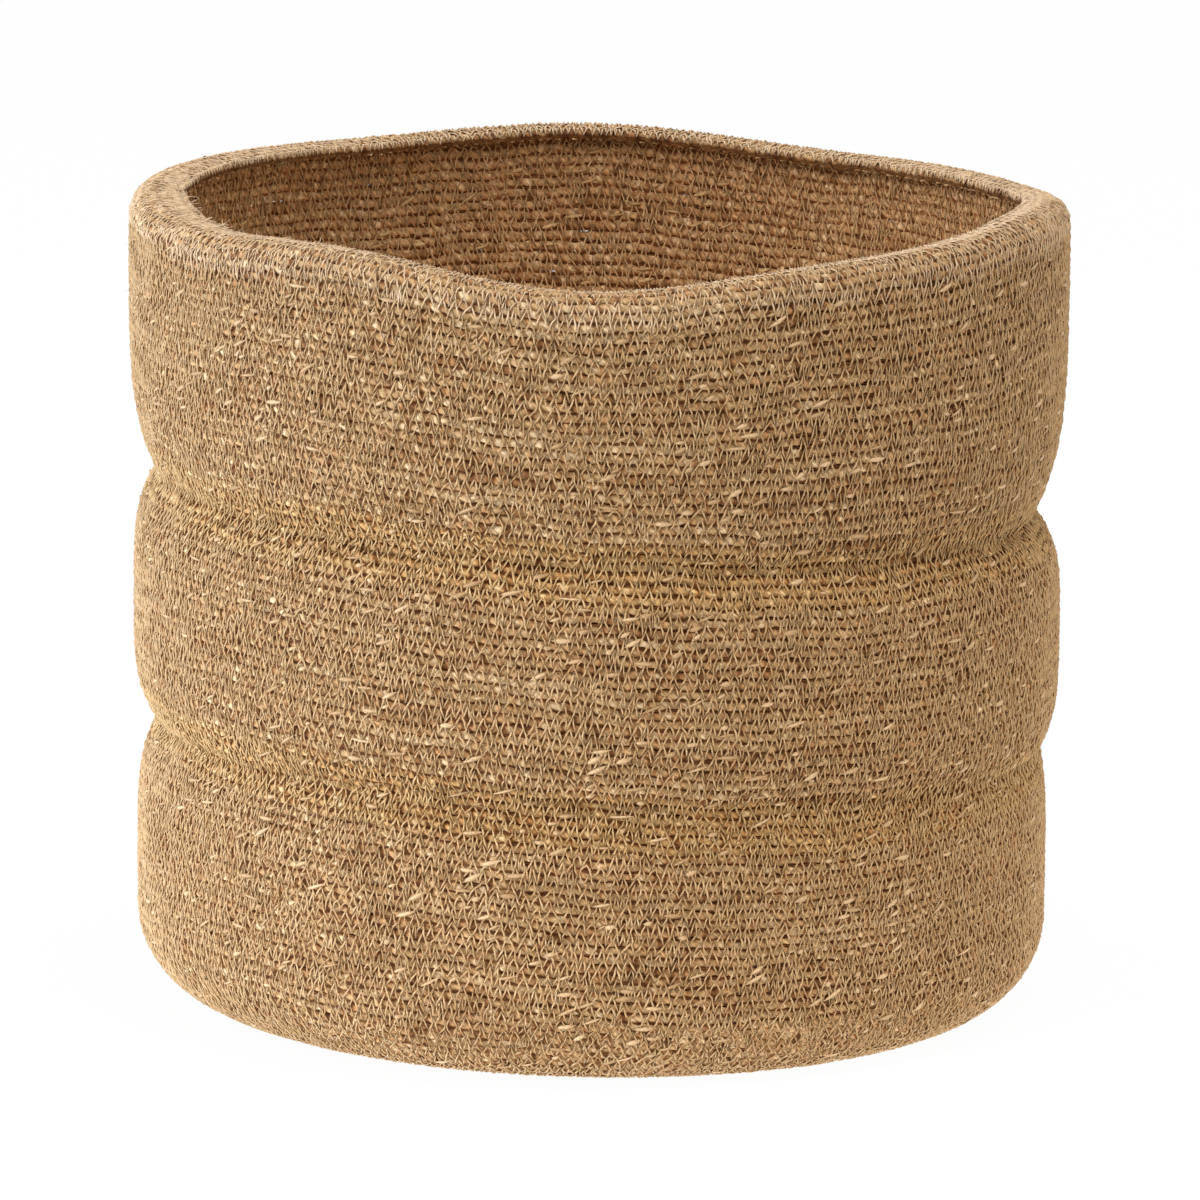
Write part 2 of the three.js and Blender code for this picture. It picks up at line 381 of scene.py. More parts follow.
class NodeGraph:
    """A node tree under construction, with short calls to add nodes and link them."""

    def __init__(self, tree: bpy.types.NodeTree) -> None:
        """Keeps the tree that the nodes go into."""
        self.tree = tree

    def feed(self, socket: Socket, value: Value) -> None:
        """Links a socket to another one, or sets its own value.

        Args:
            socket: The input to feed.
            value: Another node's output, or the input's own value.
        """
        if isinstance(value, Socket):
            self.tree.links.new(value, socket)
        else:
            socket.default_value = value

    def add(self, kind: str, inputs: Inputs | None = None, **settings: Value) -> bpy.types.Node:
        """Adds a node.

        Args:
            kind: Blender's type name of the node.
            inputs: Values or sockets for its inputs, by name or by place.
            settings: The node's own properties.

        Returns:
            The new node.
        """
        node = self.tree.nodes.new(kind)
        for name, value in settings.items():
            setattr(node, name, value)
        for name, value in (inputs or {}).items():
            if isinstance(name, int):
                self.feed(node.inputs[name], value)
            else:
                self.feed(next(s for s in node.inputs if s.name == name and s.enabled), value)
        return node

    def out(self, kind: str, inputs: Inputs | None = None, **settings: Value) -> Socket:
        """Adds a node as add() does, and returns its first output that is in use."""
        node = self.add(kind, inputs, **settings)
        return next(s for s in node.outputs if s.enabled)

    def math(self, operation: str, first: Value, second: Value = 0.0) -> Socket:
        """Adds a number sum by its name, such as POWER, and returns its result."""
        return self.out("ShaderNodeMath", {0: first, 1: second}, operation=operation)

    def plus(self, first: Value, second: Value) -> Socket:
        """Adds two numbers."""
        return self.math("ADD", first, second)

    def minus(self, first: Value, second: Value) -> Socket:
        """Takes the second number from the first."""
        return self.math("SUBTRACT", first, second)

    def times(self, first: Value, second: Value) -> Socket:
        """Multiplies two numbers."""
        return self.math("MULTIPLY", first, second)

    def over(self, first: Value, second: Value) -> Socket:
        """Divides the first number by the second."""
        return self.math("DIVIDE", first, second)

    def vector(self, operation: str, first: Value, second: Value) -> Socket:
        """Adds a vector sum by its name, such as ADD, and returns its vector."""
        return self.out("ShaderNodeVectorMath", {0: first, 1: second}, operation=operation)

    def scaled(self, vector: Value, factor: Value) -> Socket:
        """Scales a vector by a number."""
        return self.out("ShaderNodeVectorMath", {0: vector, "Scale": factor}, operation="SCALE")

    def dot(self, first: Value, second: Value) -> Socket:
        """The dot product of two vectors."""
        node = self.add("ShaderNodeVectorMath", {0: first, 1: second}, operation="DOT_PRODUCT")
        return node.outputs["Value"]

    def xyz(self, x: Value = 0.0, y: Value = 0.0, z: Value = 0.0) -> Socket:
        """Makes a vector of three numbers."""
        return self.out("ShaderNodeCombineXYZ", {"X": x, "Y": y, "Z": z})

    def parts(self, vector: Value) -> tuple[Socket, ...]:
        """Takes a vector apart into its three numbers."""
        return tuple(self.add("ShaderNodeSeparateXYZ", {"Vector": vector}).outputs)

    def ranged(self, value: Value, before: Span, after: Span) -> Socket:
        """Maps one span of numbers to another, and stops at its ends.

        Args:
            value: The number to map.
            before: The ends of the span that it lies in.
            after: What those ends become.

        Returns:
            The mapped number.
        """
        names = ("Value", "From Min", "From Max", "To Min", "To Max")
        return self.out("ShaderNodeMapRange", dict(zip(names, (value, *before, *after))))

    def mixed(self, share: Value, first: Value, second: Value) -> Socket:
        """Mixes two vectors by a share, from all the first at 0 to all the second at 1."""
        inputs = {"Factor": share, "A": first, "B": second}
        return self.out("ShaderNodeMix", inputs, data_type="VECTOR")

    def line_noise(self, place: Value, detail: float = 2.0) -> bpy.types.Node:
        """Noise along a line, one lump for each unit of the place."""
        inputs = {"W": place, "Scale": 1.0, "Detail": detail}
        return self.add("ShaderNodeTexNoise", inputs, noise_dimensions="1D")

    def field_noise(self, place: Value, detail: float = 2.0) -> Socket:
        """Noise in space as a number, one lump for each unit of the place."""
        inputs = {"Vector": place, "Scale": 1.0, "Detail": detail}
        return self.add("ShaderNodeTexNoise", inputs, noise_dimensions="3D").outputs["Fac"]

    def object_place(self) -> Socket:
        """The place on the piece that a material is shown at, in metres."""
        return self.add("ShaderNodeTexCoord").outputs["Object"]

    def read(self, name: str) -> Socket:
        """Reads a path's own vector in a Geometry Nodes tree."""
        kind = "GeometryNodeInputNamedAttribute"
        return self.out(kind, {"Name": name}, data_type="FLOAT_VECTOR")

    def store(
        self, geometry: Value, name: str, value: Value, data_type: str, domain: str = "POINT"
    ) -> Socket:
        """Stores an attribute on a geometry in a Geometry Nodes tree.

        Args:
            geometry: The mesh, or the instances.
            name: The attribute's name.
            value: The attribute's value.
            data_type: Blender's name of its type.
            domain: What carries it.

        Returns:
            The geometry with the attribute.
        """
        inputs = {"Geometry": geometry, "Name": name, "Value": value}
        return self.out("GeometryNodeStoreNamedAttribute", inputs, data_type=data_type, domain=domain)

    def kept(self, geometry: Value, data_type: str, value: Value) -> tuple[Socket, Socket]:
        """Captures a value on a geometry before the geometry changes.

        Args:
            geometry: The geometry as it is now.
            data_type: Blender's name of the value's type.
            value: The value to capture.

        Returns:
            The geometry, and the value as it was there.
        """
        node = self.add("GeometryNodeCaptureAttribute", {"Geometry": geometry})
        node.capture_items.new(data_type, "Kept")
        self.feed(node.inputs["Kept"], value)
        return node.outputs["Geometry"], node.outputs["Kept"]

    def moved(self, geometry: Value, offset: Value) -> Socket:
        """Moves a geometry's points by an offset."""
        return self.out("GeometryNodeSetPosition", {"Geometry": geometry, "Offset": offset})

    def resampled(self, path: Value, step: Value) -> Socket:
        """Turns a path of edges into a curve with points at even steps."""
        curve = self.out("GeometryNodeMeshToCurve", {"Mesh": path})
        return self.out("GeometryNodeResampleCurve", {"Curve": curve, "Length": step}, mode="LENGTH")

    def ring(self, sides: Value, radius: Value) -> Socket:
        """A ring of points, to sweep along a curve."""
        inputs = {"Resolution": sides, "Radius": radius}
        return self.out("GeometryNodeCurvePrimitiveCircle", inputs, mode="RADIUS")

    def swept(self, curve: Value, section: Value, scale: Value) -> Socket:
        """Sweeps a section along a curve, scaled as it goes, into a mesh with closed ends."""
        inputs = {"Curve": curve, "Profile Curve": section, "Scale": scale, "Fill Caps": True}
        return self.out("GeometryNodeCurveToMesh", inputs)

    def random(self, span: Span, seed: Value) -> Socket:
        """A random number in a span, another one for each point."""
        inputs = {"Min": span[0], "Max": span[1], "Seed": seed}
        return self.out("FunctionNodeRandomValue", inputs, data_type="FLOAT")


class MakerTree:
    """A Geometry Nodes tree with named inputs, which turns a path into a finished mesh."""

    title: str = "maker"
    sizes: dict[str, float | int] = {}

    def __init__(self) -> None:
        """Makes the tree, its inputs and its nodes."""
        self.tree = bpy.data.node_groups.new(self.title, "GeometryNodeTree")
        self.tree.is_modifier = True
        face = self.tree.interface
        face.new_socket("Path", in_out="INPUT", socket_type="NodeSocketGeometry")
        for name, value in self.sizes.items():
            kind = "NodeSocketInt" if isinstance(value, int) else "NodeSocketFloat"
            face.new_socket(name, in_out="INPUT", socket_type=kind).default_value = value
        face.new_socket("Material", in_out="INPUT", socket_type="NodeSocketMaterial")
        face.new_socket("Mesh", in_out="OUTPUT", socket_type="NodeSocketGeometry")
        graph = NodeGraph(self.tree)
        given = {socket.name: socket for socket in graph.add("NodeGroupInput").outputs if socket.name}
        made = self.wire(graph, given)
        made = graph.out("GeometryNodeRealizeInstances", {"Geometry": made})
        made = graph.out("GeometryNodeSetShadeSmooth", {"Geometry": made})
        made = graph.out("GeometryNodeSetMaterial", {"Geometry": made, "Material": given["Material"]})
        graph.add("NodeGroupOutput", {"Mesh": made})

    def wire(self, graph: NodeGraph, given: Sockets) -> Socket:
        """Adds the nodes between the path and the mesh, and returns the mesh's socket."""
        raise NotImplementedError

    def make(
        self,
        name: str,
        path: bpy.types.Mesh,
        material: bpy.types.Material,
        values: dict[str, float | int],
    ) -> bpy.types.Object:
        """Runs the tree on a path and keeps the result as a plain mesh.

        Args:
            name: The new piece's name.
            path: A mesh of edges, with the attributes that the tree reads.
            material: The piece's material.
            values: Values of the tree's inputs, by their names.

        Returns:
            The new object, which has no modifier.
        """
        piece = bpy.data.objects.new(name, path)
        bpy.context.scene.collection.objects.link(piece)
        modifier = piece.modifiers.new(self.title, "NODES")
        modifier.node_group = self.tree
        wanted = {"Material": material, **values}
        for item in self.tree.interface.items_tree:
            if item.in_out == "INPUT" and item.name in wanted:
                modifier[item.identifier] = wanted.pop(item.name)
        if wanted:
            raise ValueError(f"{self.title} has no input named {sorted(wanted)}")
        depsgraph = bpy.context.evaluated_depsgraph_get()
        made = bpy.data.meshes.new_from_object(
            piece.evaluated_get(depsgraph), preserve_all_data_layers=True, depsgraph=depsgraph
        )
        piece.modifiers.remove(modifier)
        piece.data = made
        bpy.data.meshes.remove(path)
        made.name = name
        return piece


class TwistedCord(MakerTree):
    """Twists a flattened cord along a path, thicker and thinner as it goes.

    The path's points carry outward, which points away from the wall. The mesh keeps grain,
    the place along and across the cord, and skin, 1 on the outside of the wall, -1 on its
    inside and 0 where the next course hides the cord.
    """

    title = "twisted_cord"
    sizes = {
        "Cord Radius": 1.5 * MM,
        "Lay Length": 6.6 * MM,
        "Flatness": 0.15,
        "Lump Share": 0.22,
        "Lump Length": 3.0 * MM,
        "Wander": 0.36 * MM,
        "Section Spacing": 1.35 * MM,
        "Sides": 5,
    }
    lump_gain = 4.0
    wander_gain = 2.0

    def wire(self, graph: NodeGraph, given: Sockets) -> Socket:
        """Resamples the path, twists it, sweeps the section along it and keeps the grain.

        Args:
            graph: The tree under construction.
            given: The tree's inputs, by their names.

        Returns:
            The cord's mesh.
        """
        curve = graph.resampled(given["Path"], given["Section Spacing"])
        curve = graph.out("GeometryNodeSetCurveNormal", {"Curve": curve}, mode="Z_UP")
        along = graph.add("GeometryNodeSplineParameter").outputs["Length"]
        twist = graph.times(graph.over(along, given["Lay Length"]), FULL_TURN)
        curve = graph.out("GeometryNodeSetCurveTilt", {"Curve": curve, "Tilt": twist})
        lumps = graph.line_noise(graph.over(along, given["Lump Length"]))
        uneven = graph.vector("SUBTRACT", lumps.outputs["Color"], (NOISE_MIDDLE,) * 3)
        curve = graph.moved(curve, graph.scaled(uneven, graph.times(given["Wander"], self.wander_gain)))
        lump = graph.minus(lumps.outputs["Fac"], NOISE_MIDDLE)
        lump = graph.times(lump, graph.times(given["Lump Share"], self.lump_gain))
        curve, length = graph.kept(curve, "FLOAT", along)
        shape = graph.xyz(graph.plus(1.0, given["Flatness"]), graph.minus(1.0, given["Flatness"]), 1.0)
        section = graph.ring(given["Sides"], given["Cord Radius"])
        section = graph.out("GeometryNodeTransform", {"Geometry": section, "Scale": shape})
        section, across = graph.kept(section, "VECTOR", graph.out("GeometryNodeInputPosition"))
        swept = graph.swept(curve, section, graph.plus(lump, 1.0))
        side, face, _ = graph.parts(across)
        swept = graph.store(swept, "grain", graph.xyz(length, side, face), "FLOAT_VECTOR")
        skin = graph.dot(graph.out("GeometryNodeInputNormal"), graph.read("outward"))
        return graph.store(swept, "skin", skin, "FLOAT")


class ZigzagThread(MakerTree):
    """Swings one thread from side to side of a seam, down into a hole at each turn.

    The seam's points carry climb, from the lower hole to the upper one, sag, from the seam
    to the middle between the two holes, and outward, away from the wall. The mesh keeps tone,
    which says how pale the thread is.
    """

    title = "zigzag_thread"
    sizes = {
        "Stitch Spacing": 2.36 * MM,
        "Width Share": 1.0,
        "Thread Radius": 0.37 * MM,
        "Rise": 0.35 * MM,
        "Dive": 0.08 * MM,
        "Skew": 0.12 * MM,
        "Stray": 1.0 * MM,
        "Drift": 7.0 * MM,
        "Drift Length": 34 * MM,
        "Swell Length": 22 * MM,
        "Leg Points": 3,
        "Sides": 3,
        "Seed": 1,
    }
    seed_step = 71.3
    width_spread = (0.72, 1.12)
    girth_spread = (0.78, 1.25)
    dive_sharpness = 4.0
    stray_step = 0.83
    stray_gain = 3.0
    stray_width = 0.5
    stray_height = 0.25
    tone_step = 0.37

    def offset(
        self, graph: NodeGraph, given: Sockets, phase: Socket, seed: Socket, astray: Socket
    ) -> Socket:
        """How far a point moves from the seam to its place on the stitch.

        Args:
            graph: The tree under construction.
            given: The tree's inputs, by their names.
            phase: The point's place along the zigzag, counted in stitches.
            seed: Where in the noises this thread lies.
            astray: How uneven the stitch is along, across and out of the wall.

        Returns:
            The way from the seam to the point's place.
        """
        along = graph.add("GeometryNodeSplineParameter").outputs["Length"]
        swing = graph.times(graph.math("COSINE", graph.times(phase, math.pi)), -1.0)
        side = graph.times(graph.times(swing, 0.5), given["Width Share"])
        swell = graph.line_noise(graph.minus(graph.over(along, given["Swell Length"]), seed))
        side = graph.times(side, graph.ranged(swell.outputs["Fac"], NOISE_REACH, self.width_spread))
        dive = graph.math("POWER", graph.math("ABSOLUTE", swing), self.dive_sharpness)
        dive = graph.times(dive, graph.plus(given["Rise"], given["Dive"]))
        height = graph.minus(given["Rise"], dive)
        drift = graph.line_noise(graph.plus(graph.over(along, given["Drift Length"]), seed))
        drift = graph.times(graph.minus(drift.outputs["Fac"], NOISE_MIDDLE), given["Drift"])
        shift = graph.plus(drift, graph.times(swing, given["Skew"]))
        stray_x, stray_y, stray_z = graph.parts(astray)
        amount = graph.times(given["Stray"], self.stray_gain)
        shift = graph.plus(shift, graph.times(stray_x, amount))
        side = graph.plus(side, graph.times(stray_y, self.stray_width))
        height = graph.plus(height, graph.times(stray_z, graph.times(amount, self.stray_height)))
        offset = graph.scaled(graph.read("climb"), side)
        for part in (
            graph.scaled(graph.read("sag"), graph.times(swing, swing)),
            graph.scaled(graph.out("GeometryNodeInputTangent"), shift),
            graph.scaled(graph.read("outward"), height),
        ):
            offset = graph.vector("ADD", offset, part)
        return offset

    def wire(self, graph: NodeGraph, given: Sockets) -> Socket:
        """Resamples the seam, swings its points to the holes and sweeps the thread.

        Args:
            graph: The tree under construction.
            given: The tree's inputs, by their names.

        Returns:
            The thread's mesh.
        """
        seam = graph.resampled(given["Path"], graph.over(given["Stitch Spacing"], given["Leg Points"]))
        seed = graph.times(given["Seed"], self.seed_step)
        phase = graph.over(graph.out("GeometryNodeInputIndex"), given["Leg Points"])
        stray = graph.line_noise(graph.plus(graph.times(phase, self.stray_step), seed), ROUGH)
        astray = graph.vector("SUBTRACT", stray.outputs["Color"], (NOISE_MIDDLE,) * 3)
        seam, kept_phase = graph.kept(seam, "FLOAT", phase)
        seam = graph.moved(seam, self.offset(graph, given, phase, seed, astray))
        girth = graph.ranged(stray.outputs["Fac"], NOISE_REACH, self.girth_spread)
        made = graph.swept(seam, graph.ring(given["Sides"], given["Thread Radius"]), girth)
        place = graph.plus(graph.times(kept_phase, self.tone_step), seed)
        tone = graph.line_noise(place, ROUGH).outputs["Fac"]
        return graph.store(made, "tone", graph.ranged(tone, NOISE_REACH, (0.0, 1.0)), "FLOAT")


class Strand(MakerTree):
    """Sweeps a thin round strand along each line of its path, thinner towards its far end.

    The mesh keeps tone, which says how pale the strand is.
    """

    title = "strand"
    sizes = {"Strand Radius": 0.37 * MM, "Taper": 0.0, "Sides": 3, "Seed": 1}
    tone_length = 4 * MM

    def wire(self, graph: NodeGraph, given: Sockets) -> Socket:
        """Turns the path into strands, and gives each stretch of them a tone.

        Args:
            graph: The tree under construction.
            given: The tree's inputs, by their names.

        Returns:
            The strands' mesh.
        """
        curve = graph.out("GeometryNodeMeshToCurve", {"Mesh": given["Path"]})
        spline = graph.add("GeometryNodeSplineParameter")
        taper = graph.times(spline.outputs["Factor"], given["Taper"])
        place = graph.plus(graph.over(spline.outputs["Length"], self.tone_length), given["Seed"])
        tone = graph.line_noise(place, ROUGH).outputs["Fac"]
        curve, tone = graph.kept(curve, "FLOAT", graph.ranged(tone, NOISE_REACH, (0.0, 1.0)))
        section = graph.ring(given["Sides"], given["Strand Radius"])
        return graph.store(graph.swept(curve, section, graph.minus(1.0, taper)), "tone", tone, "FLOAT")


class GrassFlecks(MakerTree):
    """Lays loose ends of grass along the cord: short bulging blades, pale and in loose clusters.

    The path's points carry outward. The mesh keeps tone, which says how pale a blade is.
    """

    title = "grass_flecks"
    sizes = {
        "Fleck Spacing": 19 * MM,
        "Blade Length": 5.2 * MM,
        "Blade Width": 1.4 * MM,
        "Blade Lift": 1.95 * MM,
        "Kept Share": 0.62,
        "Seed": 1,
    }
    blade_points = 5
    blade_sides = 4
    blade_bow = 0.8 * MM
    blade_thickness = 0.32
    blade_tip = 0.85
    # What each blade draws, one seed after another: whether it is kept, how far it leans and
    # slides along the cord, how long and how pale it is, how broad, and its shift across.
    spans = {
        "chance": (0.0, 1.0),
        "lean": (-0.05, 0.65),
        "slide": (-6 * MM, 6 * MM),
        "size": (0.4, 1.5),
        "tone": (0.0, 1.0),
        "breadth": (0.55, 1.25),
        "shift": (-0.8 * MM, 0.8 * MM),
    }
    cluster_scale = (1 / (40 * MM), 1 / (40 * MM), 1 / (10 * MM))
    cluster_reach = (0.42, 0.6)
    cluster_share = (0.1, 1.5)

    def blade(self, graph: NodeGraph, given: Sockets) -> Socket:
        """Makes one blade along Z, bowed outwards along X, wide in the middle and thin at its ends.

        Args:
            graph: The tree under construction.
            given: The tree's inputs, by their names.

        Returns:
            The blade's mesh.
        """
        half = graph.times(given["Blade Length"], 0.5)
        ends = {"Start": graph.xyz(z=graph.times(half, -1.0)), "End": graph.xyz(z=half)}
        line = graph.out("GeometryNodeCurvePrimitiveLine", ends)
        line = graph.out("GeometryNodeResampleCurve", {"Curve": line, "Count": self.blade_points})
        place = graph.over(graph.parts(graph.out("GeometryNodeInputPosition"))[2], half)
        square = graph.times(place, place)
        line = graph.moved(line, graph.xyz(graph.times(square, -self.blade_bow)))
        ring = graph.ring(self.blade_sides, graph.times(given["Blade Width"], 0.5))
        flat = {"Geometry": ring, "Scale": (1.0, self.blade_thickness, 1.0)}
        section = graph.out("GeometryNodeTransform", flat)
        return graph.swept(line, section, graph.minus(1.0, graph.times(square, self.blade_tip)))

    def wire(self, graph: NodeGraph, given: Sockets) -> Socket:
        """Spaces points along the cord, drops some of them and lays a blade on each other one.

        Args:
            graph: The tree under construction.
            given: The tree's inputs, by their names.

        Returns:
            The blades, as instances.
        """
        cord = graph.resampled(given["Path"], given["Fleck Spacing"])
        outward = graph.read("outward")
        tangent = graph.out("GeometryNodeInputTangent")
        climb = graph.vector("CROSS_PRODUCT", outward, tangent)
        drawn = {}
        for step, (name, span) in enumerate(self.spans.items()):
            drawn[name] = graph.random(span, graph.plus(given["Seed"], float(step)))
        here = graph.out("GeometryNodeInputPosition")
        cluster = graph.field_noise(graph.vector("MULTIPLY", here, self.cluster_scale), PLAIN)
        cluster = graph.ranged(cluster, self.cluster_reach, self.cluster_share)
        kept_share = graph.times(given["Kept Share"], cluster)
        offset = graph.scaled(outward, given["Blade Lift"])
        offset = graph.vector("ADD", offset, graph.scaled(climb, drawn["shift"]))
        offset = graph.vector("ADD", offset, graph.scaled(tangent, drawn["slide"]))
        way = graph.vector("ADD", tangent, graph.scaled(climb, drawn["lean"]))
        points, kept_way = graph.kept(graph.moved(cord, offset), "VECTOR", way)
        align = "FunctionNodeAlignRotationToVector"
        turn = graph.out(align, {"Vector": kept_way}, axis="Z")
        turn = graph.out(align, {"Rotation": turn, "Vector": outward}, axis="X", pivot_axis="Z")
        laid = {
            "Points": points,
            "Selection": graph.math("LESS_THAN", drawn["chance"], kept_share),
            "Instance": self.blade(graph, given),
            "Rotation": turn,
            "Scale": graph.xyz(drawn["breadth"], drawn["breadth"], drawn["size"]),
        }
        blades = graph.out("GeometryNodeInstanceOnPoints", laid)
        return graph.store(blades, "tone", drawn["tone"], "FLOAT", "INSTANCE")


def path_mesh(points: np.ndarray, vectors: dict[str, np.ndarray], line_points: int = 0) -> bpy.types.Mesh:
    """Makes a mesh of edges through points, with vectors on its points.

    Args:
        points: The points, one row each.
        vectors: Vector attributes by name, one row for each point.
        line_points: Points in each separate line, or 0 where they make one line.

    Returns:
        The new mesh.
    """
    mesh = bpy.data.meshes.new("path")
    line_points = line_points or len(points)
    edges = [(start, start + 1) for start in range(len(points) - 1) if (start + 1) % line_points]
    mesh.from_pydata(points.tolist(), edges, [])
    for key, rows in vectors.items():
        mesh.attributes.new(key, "FLOAT_VECTOR", "POINT").data.foreach_set("vector", rows.ravel())
    return mesh


def linear(red: int, green: int, blue: int) -> Colour:
    """Turns a colour as a screen shows it, 0 to 255, into the numbers that shaders take."""
    shares = [value / 255 for value in (red, green, blue)]
    return tuple(s / 12.92 if s <= 0.04045 else ((s + 0.055) / 1.055) ** 2.4 for s in shares)


class Finish:
    """A finish for one kind of piece, whose material is made when it is first asked for."""

    name: str
    roughness: float
    bump_height: float
    bump_strength: float
    specular: float = 0.2
    # Painted light and shade: the colour is made a little lighter low on the wall and darker towards the
    # rim.
    painted_light_heights: Span = (60 * MM, 235 * MM)
    painted_light_levels: Span = (1.04, 0.92)

    @property
    def material(self) -> bpy.types.Material:
        """The finish's material."""
        return bpy.data.materials.get(self.name) or self.build()

    def surface(self, graph: NodeGraph) -> tuple[Socket, Socket]:
        """Adds the nodes of the surface, and returns its colour and the height of its relief."""
        raise NotImplementedError

    def build(self) -> bpy.types.Material:
        """Makes the material from the surface's colour and relief.

        Returns:
            The new material.
        """
        material = bpy.data.materials.new(self.name)
        material.use_nodes = True
        shader = material.node_tree.nodes["Principled BSDF"]
        shader.inputs["Roughness"].default_value = self.roughness
        shader.inputs["Specular IOR Level"].default_value = self.specular
        graph = NodeGraph(material.node_tree)
        colour, relief = self.surface(graph)
        # Painted light by height: lighter low down, darker towards the rim.
        height = graph.parts(graph.object_place())[2]
        painted_light_by_height = graph.ranged(height, self.painted_light_heights, self.painted_light_levels)
        graph.feed(shader.inputs["Base Color"], graph.scaled(colour, painted_light_by_height))
        bumps = {"Height": relief, "Distance": self.bump_height, "Strength": self.bump_strength}
        graph.feed(shader.inputs["Normal"], graph.out("ShaderNodeBump", bumps))
        return material

    def ramp(self, graph: NodeGraph, value: Value, colours: tuple[Colour, ...], ends: Span) -> Socket:
        """Runs a value through evenly spaced colours.

        Args:
            graph: The material's graph.
            value: The value to colour.
            colours: The colours, from the first end to the last.
            ends: The values at which the first and the last colour stand.

        Returns:
            The colour.
        """
        node = graph.add("ShaderNodeValToRGB", {"Fac": value})
        stops = node.color_ramp.elements
        while len(stops) < len(colours):
            stops.new(0.5)
        for place in range(len(colours)):
            stops[place].position = ends[0] + (ends[1] - ends[0]) * place / (len(colours) - 1)
        for stop, colour in zip(stops, colours):
            stop.color = (*colour, 1.0)
        return node.outputs["Color"]


@dataclass(frozen=True)
class SeagrassFinish(Finish):
    """Twisted dried grass: stalks from reddish brown through tan to pale straw, with a grain."""

    name: str
    colours: tuple[Colour, ...]
    tint: Colour = (1.0, 1.0, 1.0)
    # Painted light: the cord's inside faces are multiplied lighter, standing in for light the inside of the
    # basket lacks; the rim's finishes darken them instead, as painted shade.
    inside_painted_shading: Colour = (1.64, 1.62, 1.68)
    # Painted shade where the cord lies hidden between two courses, outside and inside.
    painted_gap_shade: Colour = (0.54, 0.36, 0.14)
    painted_inside_gap_shade: Colour = (0.96, 0.88, 0.78)
    # Painted shade along the groove between the two plies, and how far apart in the noise those lie.
    ply_groove: float = 0.4 * MM
    groove_light: Span = (0.6, 1.0)
    ply_step: float = 37.7
    # The stalks, their noise and light from dark to pale, and the longer patches along the cord.
    stalk_length: float = 3.6 * MM
    stalk_width: float = 0.35 * MM
    stalk_reach: Span = (0.32, 0.68)
    stalk_light: Span = (0.55, 1.48)
    course_patch: float = 110 * MM
    patch_weight: float = 0.62
    # What stalks and patches add up to at the first and at the last colour.
    colour_reach: Span = (0.58, 1.04)
    inside_evenness: float = 0.2
    inside_contrast: float = 0.8
    # Painted shade between courses: the skins over which it fades out, as the cord comes out from under its
    # neighbours.
    gap_shade_reach: Span = (0.1, 0.66)
    roughness: float = 0.7
    bump_height: float = 0.2 * MM
    bump_strength: float = 0.7

    def tint_and_painted_shade(self, graph: NodeGraph, skin: Socket, inside: Socket) -> Socket:
        """What the stalks' colour is multiplied by: the finish's tint, painted light on the inside (painted
        shade in the rim's finishes), and painted shade where the cord lies hidden between two courses.

        Args:
            graph: The material's graph.
            skin: 1 outside, -1 inside and 0 between two courses.
            inside: 1 inside the basket and 0 outside.

        Returns:
            The tint.
        """
        tint_and_inside_shading = graph.mixed(inside, self.tint, self.inside_painted_shading)
        # Painted shade: the cord darkens where it lies hidden between courses.
        shown = graph.ranged(graph.math("ABSOLUTE", skin), self.gap_shade_reach, (0.0, 1.0))
        gap_shade = graph.mixed(inside, self.painted_gap_shade, self.painted_inside_gap_shade)
        return graph.vector("MULTIPLY", tint_and_inside_shading, graph.mixed(shown, gap_shade, (1.0, 1.0, 1.0)))

    def surface(self, graph: NodeGraph) -> tuple[Socket, Socket]:
        """Colours the cord from its own grain and skin.

        Args:
            graph: The material's graph.

        Returns:
            The colour, and the height of the stalks.
        """
        grain = graph.add("ShaderNodeAttribute", attribute_name="grain").outputs["Vector"]
        along, side, face = graph.parts(grain)
        skin = graph.add("ShaderNodeAttribute", attribute_name="skin").outputs["Fac"]
        inside = graph.math("LESS_THAN", skin, 0.0)
        ply = graph.times(graph.math("GREATER_THAN", side, 0.0), self.ply_step)
        length = graph.over(along, self.stalk_length)
        blade = graph.line_noise(graph.plus(length, ply), PLAIN).outputs["Fac"]
        patch = graph.line_noise(graph.over(along, self.course_patch), ROUGH).outputs["Fac"]
        both = graph.plus(blade, graph.times(patch, self.patch_weight))
        colour = self.ramp(graph, both, self.colours, self.colour_reach)
        evenness = graph.times(inside, self.inside_evenness)
        colour = graph.mixed(evenness, colour, self.colours[len(self.colours) // 2])
        width = self.stalk_width
        stalks = graph.field_noise(graph.xyz(length, graph.over(side, width), graph.over(face, width)))
        # Painted shade: the cord is darker along the groove between its plies.
        ply_groove_shade = graph.ranged(graph.math("ABSOLUTE", side), (0.0, self.ply_groove), self.groove_light)
        light = graph.times(graph.ranged(stalks, self.stalk_reach, self.stalk_light), ply_groove_shade)
        contrast = graph.ranged(inside, (0.0, 1.0), (1.0, self.inside_contrast))
        colour = graph.scaled(colour, graph.math("POWER", light, contrast))
        return graph.vector("MULTIPLY", colour, self.tint_and_painted_shade(graph, skin, inside)), stalks


